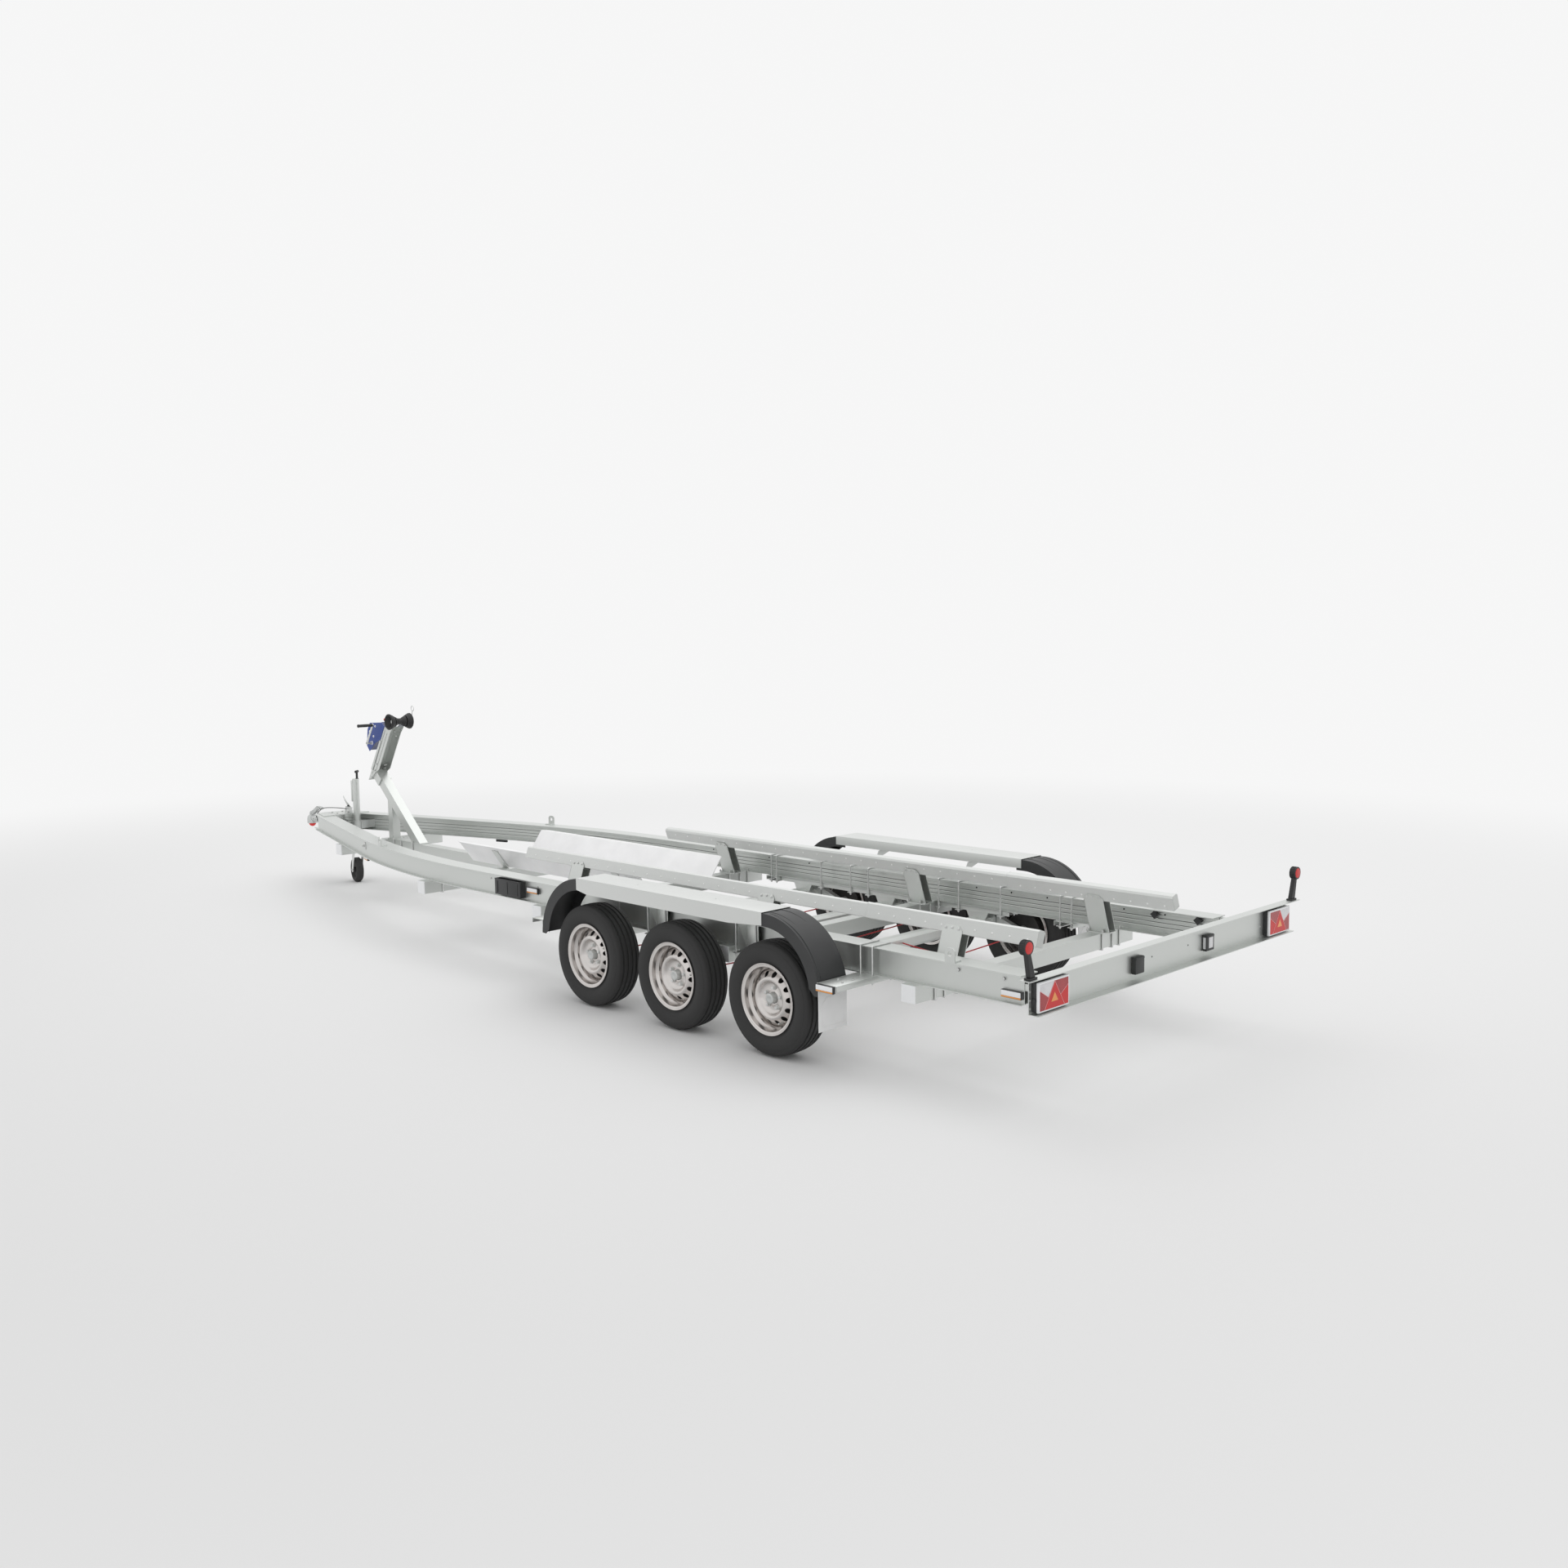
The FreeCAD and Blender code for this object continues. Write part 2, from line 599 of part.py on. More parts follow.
def axle_bracket(x):
    """Folded bracket between the left rail and an axle tube."""
    bottom = AXLE_TUBE_Z
    top = BEAM_BOTTOM - RAIL_HEIGHT
    half = AXLE_TUBE_SIZE / 2
    y = (RAIL_INNER_Y, RAIL_INNER_Y + RAIL_WIDTH)
    cheeks = []
    for low in (y[0], y[1] - RAIL_WALL):
        outline = [(x - half - 45, top), (x + half + 45, top), (x + half + 12, bottom), (x - half - 12, bottom)]
        cheeks.append(prism_y(outline, (low, low + RAIL_WALL)))
    plate = box((x - half - 45, x + half + 45), y, (top - RAIL_WALL, top))
    return cheeks + [plate]


def axle(x):
    """Rubber-sprung axle tube with the brackets that hold it to the rails."""
    half = AXLE_TUBE_SIZE / 2
    length = AXLE_TUBE_HALF_LENGTH
    corner = AXLE_TUBE_CORNER
    tube_x = x + AXLE_LEAD
    outline = [(-half + corner, -half), (half - corner, -half), (half, -half + corner), (half, half - corner),
               (half - corner, half), (-half + corner, half), (-half, half - corner), (-half, -half + corner)]
    outside = prism_y([(tube_x + px, AXLE_TUBE_Z + pz) for px, pz in outline], (-length, length))
    scale = (half - AXLE_TUBE_WALL) / half
    inside = prism_y([(tube_x + px * scale, AXLE_TUBE_Z + pz * scale) for px, pz in outline], (-length, length))
    return joined([outside] + both_sides(axle_bracket(tube_x))).cut(inside)


def axles():
    """The three axle tubes."""
    return [axle(x) for x in AXLE_XS]


def trailing_arm(x):
    """Left arm from the axle tube back to the wheel, with its spindle."""
    root = vec(x + AXLE_LEAD, ARM_INNER_Y, AXLE_TUBE_Z)
    tip = vec(x, ARM_INNER_Y, TYRE_RADIUS)
    along = tip.sub(root)
    span = along.Length
    angle = math.atan2(along.z, along.x)
    across = vec(-math.sin(angle), 0, math.cos(angle))
    sine = (ARM_ROOT_RADIUS - ARM_TIP_RADIUS) / span
    cosine = math.sqrt(1 - sine * sine)
    forward = vec(math.cos(angle), 0, math.sin(angle))
    upper = across * cosine + forward * sine
    lower = across * -cosine + forward * sine
    web = closed_face([root + upper * ARM_ROOT_RADIUS, tip + upper * ARM_TIP_RADIUS,
                       tip + lower * ARM_TIP_RADIUS, root + lower * ARM_ROOT_RADIUS])
    arm_end = ARM_INNER_Y + ARM_THICKNESS
    backplate_inner = WHEEL_CENTRE_Y + DRUM_INNER_OFFSET - BACKPLATE_THICKNESS - SEAT_GAP * 2
    pieces = [web.extrude(vec(0, ARM_THICKNESS, 0)),
              bar_y(root.x, root.z, (ARM_INNER_Y, arm_end), ARM_ROOT_RADIUS),
              bar_y(tip.x, tip.z, (ARM_INNER_Y, backplate_inner), ARM_TIP_RADIUS),
              bar_y(tip.x, tip.z, (arm_end, WHEEL_CENTRE_Y + SPINDLE_REACH), SPINDLE_RADIUS),
              bar_y(root.x, root.z, (AXLE_TUBE_HALF_LENGTH - ARM_SHAFT_INSET, arm_end), ARM_SHAFT_RADIUS)]
    return joined(pieces)


def backplate(x):
    """Left brake backplate between arm and drum."""
    outer = WHEEL_CENTRE_Y + DRUM_INNER_OFFSET - SEAT_GAP
    plate = bar_y(x, TYRE_RADIUS, (outer - BACKPLATE_THICKNESS, outer), DRUM_RADIUS - 1)
    return plate.cut(bar_y(x, TYRE_RADIUS, (outer - BACKPLATE_THICKNESS, outer), SPINDLE_RADIUS + SEAT_GAP))


def u_bolt(x, bottom, outer_y):
    """U-bolt over the left beam, with the strap plate below it."""
    radius = CLAMP_ROD_RADIUS
    inner = BEAM_INNER_EDGE_Y - radius - SEAT_GAP
    outer = outer_y + radius + SEAT_GAP
    top = BEAM_TOP + radius
    low = bottom - CLAMP_PLATE_THICKNESS - CLAMP_THREAD
    points = [vec(x, inner, low), vec(x, inner, top), vec(x, outer, top), vec(x, outer, low)]
    path = Part.makePolygon(points)
    circle = Part.Wire(Part.makeCircle(radius, points[0], vec(0, 0, 1)))
    bolt = path.makePipeShell([circle], True, False, MITRED)
    plate = box((x - CLAMP_PLATE_WIDTH / 2, x + CLAMP_PLATE_WIDTH / 2), (inner - CLAMP_MARGIN, outer + CLAMP_MARGIN),
                (bottom - CLAMP_PLATE_THICKNESS, bottom))
    return joined([bolt, plate])


def beam_clamps():
    """U-bolts of both sides at the rails and at the mudguard stays."""
    rail_bottom = BEAM_BOTTOM - RAIL_HEIGHT
    stay_half = STAY_WIDTH / 2 - 15
    left = [u_bolt(x, rail_bottom, BEAM_OUTER_EDGE_Y) for x in (AXLE_XS[0], FIRST_AXLE_X)]
    for x in STAY_XS:
        for step in (-stay_half, stay_half):
            left.append(u_bolt(x + step, rail_bottom, BEAM_OUTER_EDGE_Y + STAY_PLATE))
    left.append(u_bolt(END_BAR_X, BEAM_BOTTOM - END_BAR_SIZE, BEAM_OUTER_EDGE_Y))
    return both_sides(left)


def guard_top():
    """Left mudguard plate with its chamfered skirts."""
    rear = AXLE_XS[0]
    front = FIRST_AXLE_X + GUARD_OVERRUN
    top = GUARD_TOP_Z
    under = top - GUARD_SHEET
    low = top - GUARD_SKIRT
    pieces = [box((rear, front), (GUARD_INNER_Y, GUARD_OUTER_Y), (under, top))]
    outline = [(rear, top), (front, top), (front, low + GUARD_CHAMFER), (front - GUARD_CHAMFER, low),
               (rear + GUARD_CHAMFER, low), (rear, low + GUARD_CHAMFER)]
    for low_y in (GUARD_INNER_Y, GUARD_OUTER_Y - GUARD_SHEET):
        pieces.append(prism_y(outline, (low_y, low_y + GUARD_SHEET)))
    return joined(pieces)


def quarter_section(centre_x):
    """Ribbed section of a quarter guard, standing over its centre."""
    inner = GUARD_INNER_Y + GUARD_SHEET + SEAT_GAP
    outer = GUARD_OUTER_Y - GUARD_SHEET - SEAT_GAP
    top = QUARTER_TOP_Z - QUARTER_RIB_HEIGHT
    low = top - QUARTER_WALL
    points = [(inner, top - QUARTER_LIP), (inner, top)]
    pitch = (outer - inner) / QUARTER_RIBS
    for index in range(QUARTER_RIBS):
        middle = inner + (index + 0.5) * pitch
        half = QUARTER_RIB_WIDTH / 2
        points += [(middle - half, top), (middle - half + QUARTER_RIB_HEIGHT, top + QUARTER_RIB_HEIGHT),
                   (middle + half - QUARTER_RIB_HEIGHT, top + QUARTER_RIB_HEIGHT), (middle + half, top)]
    points += [(outer, top), (outer, top - QUARTER_LIP), (outer - QUARTER_WALL, top - QUARTER_LIP),
               (outer - QUARTER_WALL, low), (inner + QUARTER_WALL, low), (inner + QUARTER_WALL, top - QUARTER_LIP)]
    return closed_face([vec(centre_x, y, z) for y, z in points])


def quarter_guard(centre_x, direction):
    """Left quarter guard: a short lap under the top plate, then a bend down round the wheel."""
    centre = vec(centre_x, 0, QUARTER_CENTRE_Z)
    section = quarter_section(centre_x)
    bend = section.revolve(centre, vec(0, direction, 0), QUARTER_SWEEP)
    lap = section.extrude(vec(-direction * QUARTER_LAP, 0, 0))
    return joined([bend, lap])


def quarter_guards():
    """Front and rear quarter guards of both sides."""
    return both_sides([quarter_guard(QUARTER_FRONT_X, 1), quarter_guard(QUARTER_REAR_X, -1)])


def guard_stay(x, top, face_y):
    """Left stay beside a wheel, from the beam up and out to the mudguard's inner skirt."""
    inner = BEAM_OUTER_EDGE_Y
    outer = face_y - SEAT_GAP
    plate = box((x - STAY_WIDTH / 2, x + STAY_WIDTH / 2), (inner, inner + STAY_PLATE), (BEAM_BOTTOM, BEAM_TOP))
    web = prism_x([(inner + STAY_PLATE, BEAM_BOTTOM + 20), (inner + STAY_PLATE, BEAM_TOP - 10), (outer - STAY_PLATE, top),
                   (outer, top), (outer, top - 90)], (x - STAY_PLATE / 2, x + STAY_PLATE / 2))
    face = box((x - STAY_POST / 2, x + STAY_POST / 2), (outer - STAY_PLATE, outer), (top - 90, top))
    return joined([plate, web, face])


def guard_stays():
    """Stays between the wheels and ahead of the first one, on both sides."""
    top = GUARD_TOP_Z - GUARD_STAY_DROP
    left = [guard_stay(x, top, GUARD_INNER_Y) for x in STAY_XS[:-1]]
    x = STAY_XS[-1]
    radius = QUARTER_TOP_Z - QUARTER_CENTRE_Z
    bend_top = QUARTER_CENTRE_Z + math.sqrt(radius * radius - (x + STAY_POST / 2 - QUARTER_FRONT_X) ** 2)
    left.append(guard_stay(x, bend_top - QUARTER_RIB_HEIGHT, GUARD_INNER_Y + GUARD_SHEET + SEAT_GAP))
    return both_sides(left)


def end_bar():
    """Left channel bar under the beam, out to the rear end of the mudguard."""
    half = END_BAR_SIZE / 2
    y = (BEAM_INNER_EDGE_Y - END_BAR_SIZE, GUARD_OUTER_Y)
    low = BEAM_BOTTOM - END_BAR_SIZE
    bar = box((END_BAR_X - half, END_BAR_X + half), y, (low, BEAM_BOTTOM))
    hollow = box((END_BAR_X - half + END_BAR_WALL, END_BAR_X + half - END_BAR_WALL), y, (low, BEAM_BOTTOM - END_BAR_WALL))
    radius = CLAMP_ROD_RADIUS
    holes = []
    for hole_y in (BEAM_INNER_EDGE_Y - radius - SEAT_GAP, BEAM_OUTER_EDGE_Y + radius + SEAT_GAP):
        holes.append(rod(vec(END_BAR_X, hole_y, low - 1), vec(END_BAR_X, hole_y, BEAM_BOTTOM + 1), radius + SEAT_GAP))
    return bar.cut(hollow).cut(holes)


def mud_flap():
    """Left flap that hangs from the rear bar."""
    x = END_BAR_X - END_BAR_SIZE / 2
    return box((x - FLAP_THICKNESS, x), (GUARD_INNER_Y + 15, GUARD_OUTER_Y - 5), (FLAP_BOTTOM, BEAM_BOTTOM))


def bunk_outline(width, height, chamfer):
    """Chamfered bunk section about its own centre as (y, z) points."""
    half = width / 2
    rise = height / 2
    return [(-half, -rise), (half, -rise), (half, rise - chamfer), (half - chamfer, rise),
            (-half + chamfer, rise), (-half, rise - chamfer)]


def bunk_solid(width, height, chamfer, x):
    """Bunk section drawn along X and leaned to the hull's side."""
    outline = [(BUNK_CENTRE_Y + y, BUNK_CENTRE_Z + z) for y, z in bunk_outline(width, height, chamfer)]
    return leaning(prism_x(outline, x), BUNK_TILT, vec(0, BUNK_CENTRE_Y, BUNK_CENTRE_Z))


def bunk_rear():
    """Left rear bunk section, a hollow box."""
    x = (BUNK_REAR_X, BUNK_JOINT_X)
    outside = bunk_solid(BUNK_WIDTH, BUNK_HEIGHT, BUNK_CHAMFER, x)
    inside = bunk_solid(BUNK_WIDTH - 2 * BUNK_WALL, BUNK_HEIGHT - 2 * BUNK_WALL, BUNK_CHAMFER - 1,
                        (x[0] + BUNK_WALL, x[1]))
    return outside.cut(inside)


def bunk_front():
    """Left front bunk section, telescoped into the rear one."""
    x = (BUNK_JOINT_X - BUNK_OVERLAP, BUNK_FRONT_X)
    width = BUNK_WIDTH - 2 * (BUNK_WALL + SEAT_GAP)
    height = BUNK_HEIGHT - 2 * (BUNK_WALL + SEAT_GAP)
    outside = bunk_solid(width, height, BUNK_CHAMFER, x)
    inside = bunk_solid(width - 2 * BUNK_WALL, height - 2 * BUNK_WALL, BUNK_CHAMFER - 1, (x[0], x[1] - BUNK_WALL))
    return outside.cut(inside)


def bunk_post(tube_x):
    """Left post: two leaning plates, a web behind them and a foot on the cross tube."""
    x = (tube_x - POST_SETBACK - POST_LENGTH / 2, tube_x - POST_SETBACK + POST_LENGTH / 2)
    centre = vec(0, BUNK_CENTRE_Y, BUNK_CENTRE_Z)
    inner = BUNK_WIDTH / 2 + SEAT_GAP
    outer = inner + POST_PLATE
    top = -BUNK_HEIGHT / 2 + POST_LAP
    bottom = TUBE_TOP - BUNK_CENTRE_Z - 60
    corner = 24.0
    pieces = []
    for low in (-outer, inner):
        outline = [(x[0], bottom), (x[1], bottom), (x[1], top - corner), (x[1] - corner, top),
                   (x[0] + corner, top), (x[0], top - corner)]
        plate = prism_y([(px, BUNK_CENTRE_Z + pz) for px, pz in outline], (BUNK_CENTRE_Y + low, BUNK_CENTRE_Y + low + POST_PLATE))
        pieces.append(plate)
    web = box((x[0], x[0] + POST_PLATE), (BUNK_CENTRE_Y - outer, BUNK_CENTRE_Y + outer),
              (BUNK_CENTRE_Z + bottom, BUNK_CENTRE_Z - BUNK_HEIGHT / 2 - SEAT_GAP))
    pieces.append(web)
    leaned = [leaning(piece, BUNK_TILT, centre) for piece in pieces]
    foot_y = BUNK_CENTRE_Y + (BUNK_CENTRE_Z - TUBE_TOP) * math.tan(math.radians(BUNK_TILT))
    reach = outer / math.cos(math.radians(BUNK_TILT)) + POST_FOOT_MARGIN
    foot = box(x, (foot_y - reach, foot_y + reach), (TUBE_TOP, TUBE_TOP + POST_FOOT))
    body = joined(leaned + [foot])
    below = box((x[0] - 10, x[1] + 10), (0, BEAM_WEB_OUTER_Y), (0, TUBE_TOP))
    return body.cut(below)


def bunk_posts():
    """Posts of both bunks on three of the cross tubes."""
    return both_sides([bunk_post(TUBE_CENTRES_X[index]) for index in (0, 1, 2)])


def guide_plate():
    """Left keel guide: a steep plate with a folded lip along its upper edge."""
    angle = math.radians(GUIDE_ANGLE)
    down = (-math.cos(angle), -math.sin(angle))
    across = (math.sin(angle), -math.cos(angle))
    thick = GUIDE_PLATE
    top = (GUIDE_TOP_Y - GUIDE_LIP, GUIDE_TOP_Z)

    def along(length, depth):
        return (top[0] + down[0] * length + across[0] * depth, top[1] + down[1] * length + across[1] * depth)

    outline = [along(0, 0), along(GUIDE_LENGTH, 0), along(GUIDE_LENGTH, thick), along(thick, thick),
               (GUIDE_TOP_Y, GUIDE_TOP_Z - thick), (GUIDE_TOP_Y, GUIDE_TOP_Z)]
    body = prism_x(outline, (GUIDE_REAR_X, GUIDE_FRONT_X))
    corners = []
    for x, inward in ((GUIDE_FRONT_X, -1), (GUIDE_REAR_X, 1)):
        outline = [(x, GUIDE_TOP_Y + 1), (x + inward * GUIDE_LIP_CHAMFER, GUIDE_TOP_Y + 1), (x, GUIDE_TOP_Y - GUIDE_LIP + 8)]
        corners.append(prism_z(outline, (GUIDE_TOP_Z - 2 * thick, GUIDE_TOP_Z + 1)))
    return body.cut(corners)


def guide_bracket(tube_x):
    """Left bracket that holds a guide plate on a cross tube."""
    angle = math.radians(GUIDE_ANGLE)
    top = (GUIDE_TOP_Y - GUIDE_LIP, GUIDE_TOP_Z)
    x = (tube_x - GUIDE_BRACKET_WIDTH / 2, tube_x + GUIDE_BRACKET_WIDTH / 2)
    thick = GUIDE_PLATE

    def under(length, depth):
        return (top[0] - math.cos(angle) * length + math.sin(angle) * depth,
                top[1] - math.sin(angle) * length - math.cos(angle) * depth)

    reach = (GUIDE_TOP_Z - TUBE_TOP - thick) / math.sin(angle)
    knee = under(reach - 2 * thick, thick + SEAT_GAP)
    leg = [under(40, thick + SEAT_GAP), under(40, 2 * thick + SEAT_GAP), (knee[0] + 1.6 * thick, TUBE_TOP + thick),
           (knee[0] + GUIDE_FOOT, TUBE_TOP + thick), (knee[0] + GUIDE_FOOT, TUBE_TOP), (knee[0] - 4, TUBE_TOP)]
    return prism_x(leg, x)


def guide_brackets():
    """Brackets of both guide plates on two cross tubes."""
    return both_sides([guide_bracket(TUBE_CENTRES_X[index]) for index in (2, 3)])


def upright_eye(x, y):
    """Eye plate standing on the left beam's outer edge, with its foot on the flange."""
    half = EYE_WIDTH / 2
    bottom = BEAM_TOP
    outline = [(x - half, bottom), (x + half, bottom), (x + half, bottom + EYE_HEIGHT - 14),
               (x + half - 14, bottom + EYE_HEIGHT), (x - half + 14, bottom + EYE_HEIGHT),
               (x - half, bottom + EYE_HEIGHT - 14)]
    plate = prism_y(outline, (y - EYE_PLATE, y))
    foot = box((x - half, x + half), (y - 52, y), (bottom, bottom + EYE_PLATE))
    hole = bar_y(x, bottom + EYE_HEIGHT - 30, (y - EYE_PLATE - 1, y + 1), EYE_HOLE_RADIUS)
    return joined([plate, foot]).cut(hole)


def bend_turned(shape, x):
    """Copy of a piece made for the straight beam, carried to a place on the bend."""
    angle = math.degrees(math.asin((x - BEND_START_X) / BEND_OUTER_RADIUS))
    copy = shape.copy()
    copy.rotate(vec(BEND_START_X, BEND_CENTRE_Y, 0), vec(0, 0, -1), angle)
    return copy


def tie_down_eyes():
    """Four eyes for the lashing straps."""
    rear = upright_eye(REAR_EYE_X, BEAM_OUTER_EDGE_Y)
    front = bend_turned(upright_eye(BEND_START_X, BEAM_OUTER_EDGE_Y), FRONT_EYE_X)
    return both_sides([rear, front])


def winch_post():
    """Inclined square post with its strut, foot plates and head plates."""
    rise = POST_HEAD_Z - TUBE_TOP
    run = POST_HEAD_X - POST_FOOT_X
    angle = math.atan2(rise, run)
    half = POST_TUBE / 2
    foot = vec(POST_FOOT_X, 0, TUBE_TOP)
    length = math.hypot(run, rise)
    reach = half / math.tan(angle) + 10

    def member(width, wall, extra):
        inner = width / 2 - wall
        solid = box((-extra - reach, length), (-inner, inner), (-inner, inner))
        solid.rotate(vec(0, 0, 0), vec(0, -1, 0), math.degrees(angle))
        return moved(solid, x=foot.x, z=foot.z)

    tube = member(POST_TUBE, 0, 0).cut(member(POST_TUBE, POST_TUBE_WALL, 5))
    strut_x = (STRUT_FRONT_X - STRUT_SIZE, STRUT_FRONT_X)
    strut_top = TUBE_TOP + (strut_x[0] - POST_FOOT_X) * math.tan(angle) - half / math.cos(angle) + 6
    slope = math.tan(angle) * STRUT_SIZE
    strut = prism_y([(strut_x[0], TUBE_TOP), (strut_x[1], TUBE_TOP), (strut_x[1], strut_top + slope),
                     (strut_x[0], strut_top)], (-STRUT_SIZE / 2, STRUT_SIZE / 2))
    plate = box((POST_FOOT_X - half - BASE_PLATE_MARGIN, STRUT_FRONT_X),
                (-half - BASE_PLATE, half + BASE_PLATE), (TUBE_TOP, TUBE_TOP + BASE_PLATE))
    below = box((POST_FOOT_X - 400, POST_FOOT_X + 400), (-200, 200), (0, TUBE_TOP))
    cheek_gap = (BRACKET_WIDTH / 2 - BRACKET_WALL - SEAT_GAP, half)
    cheeks = []
    for side in (LEFT, RIGHT):
        cheek = box((length - 110, length - 10), (cheek_gap[1], cheek_gap[0]), (-half, half))
        cheek.rotate(vec(0, 0, 0), vec(0, -1, 0), math.degrees(angle))
        placed = moved(cheek, x=foot.x, z=foot.z)
        cheeks.append(placed if side == LEFT else mirrored(placed))
    return joined([tube.cut(below), strut, plate] + cheeks)


def bracket_placement():
    """Local frame of the winch bracket: Z along it, X towards the nose, foot at the post's head."""
    return FreeCAD.Placement(vec(POST_HEAD_X, 0, POST_HEAD_Z), FreeCAD.Rotation(vec(0, -1, 0), BRACKET_LEAN))


def in_bracket_frame(shape):
    """Shape carried from the bracket's local frame to the trailer."""
    copy = shape.copy()
    copy.Placement = bracket_placement().multiply(copy.Placement)
    return copy


def winch_bracket():
    """Channel open to the rear, with tongues that hold the roller's pin."""
    half = BRACKET_WIDTH / 2
    front = BRACKET_DEPTH / 2
    z = (-BRACKET_BELOW, BRACKET_ABOVE)
    outside = box((-front, front), (-half, half), z)
    inside = box((-front, front - BRACKET_WALL), (-half + BRACKET_WALL, half - BRACKET_WALL), z)
    toe = prism_y([(-front, z[0]), (front, z[0]), (-front, z[0] + BRACKET_TOE)], (-half, half))
    brow = prism_y([(front + 1, z[1] - BRACKET_BROW), (front + 1, z[1] + 1), (-front, z[1] + 1)], (-half, half))
    channel = in_bracket_frame(outside.cut([inside, toe, brow]))
    pin = vec(ROLLER_X, 0, ROLLER_Z)
    tongues = []
    for side in (LEFT, RIGHT):
        y = (half - BRACKET_WALL, half) if side == LEFT else (-half, -half + BRACKET_WALL)
        local_pin = bracket_placement().inverse().multVec(pin)
        outline = [(-front, z[1] - BRACKET_BROW), (front - 20, z[1] - BRACKET_BROW), (local_pin.x + TONGUE_RADIUS, local_pin.z),
                   (local_pin.x - TONGUE_RADIUS, local_pin.z)]
        tongue = in_bracket_frame(prism_y(outline, y))
        tongues += [tongue, bar_y(pin.x, pin.z, y, TONGUE_RADIUS)]
    hole = bar_y(pin.x, pin.z, (-half - 1, half + 1), PIN_RADIUS + RUNNING_FIT)
    return joined([channel] + tongues).cut(hole)


def roller_bell():
    """Left bell of the bow roller, hollow at its outer end."""
    half = BRACKET_WIDTH / 2 + ROLLER_CLEARANCE
    slope = (ROLLER_RIM_RADIUS - ROLLER_WAIST_RADIUS) / (ROLLER_HALF_WIDTH - 14 - ROLLER_WAIST_HALF)
    inner_radius = ROLLER_WAIST_RADIUS + (half - ROLLER_WAIST_HALF) * slope
    floor = ROLLER_HALF_WIDTH - ROLLER_BELL_DEPTH
    bore = PIN_RADIUS + RUNNING_FIT
    rim = ROLLER_RIM_RADIUS
    outline = [(half, bore), (half, inner_radius), (ROLLER_HALF_WIDTH - 14, rim), (ROLLER_HALF_WIDTH, rim - 3),
               (ROLLER_HALF_WIDTH, rim - ROLLER_BELL_WALL), (floor, PIN_NUT_RADIUS + 12), (floor, bore)]
    return moved(turned(outline), x=ROLLER_X, z=ROLLER_Z)


def bow_roller():
    """Two bells and the waist between them, all on one pin."""
    half = BRACKET_WIDTH / 2 - BRACKET_WALL - ROLLER_CLEARANCE
    slope = (ROLLER_RIM_RADIUS - ROLLER_WAIST_RADIUS) / (ROLLER_HALF_WIDTH - 14 - ROLLER_WAIST_HALF)
    end_radius = ROLLER_WAIST_RADIUS + (half - ROLLER_WAIST_HALF) * slope
    bore = PIN_RADIUS + RUNNING_FIT
    outline = [(-half, bore), (-half, end_radius), (-ROLLER_WAIST_HALF, ROLLER_WAIST_RADIUS),
               (ROLLER_WAIST_HALF, ROLLER_WAIST_RADIUS), (half, end_radius), (half, bore)]
    waist = moved(turned(outline), x=ROLLER_X, z=ROLLER_Z)
    return [waist] + both_sides([roller_bell()])


def roller_pin():
    """Pin through the tongues, with a head in each bell."""
    floor = ROLLER_HALF_WIDTH - ROLLER_BELL_DEPTH + ROLLER_CLEARANCE
    end = floor + PIN_NUT_THICKNESS
    shaft = bar_y(ROLLER_X, ROLLER_Z, (-end, end), PIN_RADIUS)
    heads = both_sides([bar_y(ROLLER_X, ROLLER_Z, (floor, end), PIN_NUT_RADIUS)])
    return joined([shaft] + heads)


def winch_housing():
    """Winch frame: two side plates, a top cover and a back plate on the bracket."""
    half = WINCH_WIDTH / 2
    face = BRACKET_DEPTH / 2
    outline = [(face, 175), (face, 440), (face + 55, 455), (face + 96, 400), (face + 96, 300), (face + 30, 185)]
    wall = WINCH_WALL
    body = prism_y(outline, (-half, half))
    inner = [(face + wall, 150), (face + wall, 440 - wall), (face + 54, 455 - wall), (face + 96 - wall, 399),
             (face + 96 - wall, 302), (face + 30 - wall, 150)]
    hollow = prism_y(inner, (-half + wall, half - wall))
    return in_bracket_frame(body.cut(hollow))


def winch_drum():
    """Strap drum between the winch's side plates."""
    half = WINCH_WIDTH / 2 - WINCH_WALL
    face = BRACKET_DEPTH / 2
    centre = (face + 50, 330)
    return in_bracket_frame(bar_y(centre[0], centre[1], (-half, half), WINCH_DRUM_RADIUS))


def crank_points():
    """Shaft and grip centres of the crank in the bracket's frame."""
    shaft = (BRACKET_DEPTH / 2 + 66, 238.0)
    lean = math.radians(-6)
    grip = (shaft[0] + CRANK_LENGTH * math.sin(lean), shaft[1] + CRANK_LENGTH * math.cos(lean))
    return shaft, grip


def winch_crank():
    """Crank shaft and flat arm."""
    shaft, grip = crank_points()
    inner = WINCH_WIDTH / 2 + SEAT_GAP
    outer = inner + CRANK_OFFSET
    half = CRANK_BAR / 2
    arm = (outer - CRANK_THICKNESS, outer)
    pieces = [bar_y(shaft[0], shaft[1], (inner, outer), CRANK_SHAFT_RADIUS),
              bar_y(shaft[0], shaft[1], arm, half), bar_y(grip[0], grip[1], arm, half)]
    dx = (grip[0] - shaft[0]) / CRANK_LENGTH * half
    dz = (grip[1] - shaft[1]) / CRANK_LENGTH * half
    pieces.append(prism_y([(shaft[0] - dz, shaft[1] + dx), (grip[0] - dz, grip[1] + dx),
                           (grip[0] + dz, grip[1] - dx), (shaft[0] + dz, shaft[1] - dx)], arm))
    return in_bracket_frame(joined(pieces))


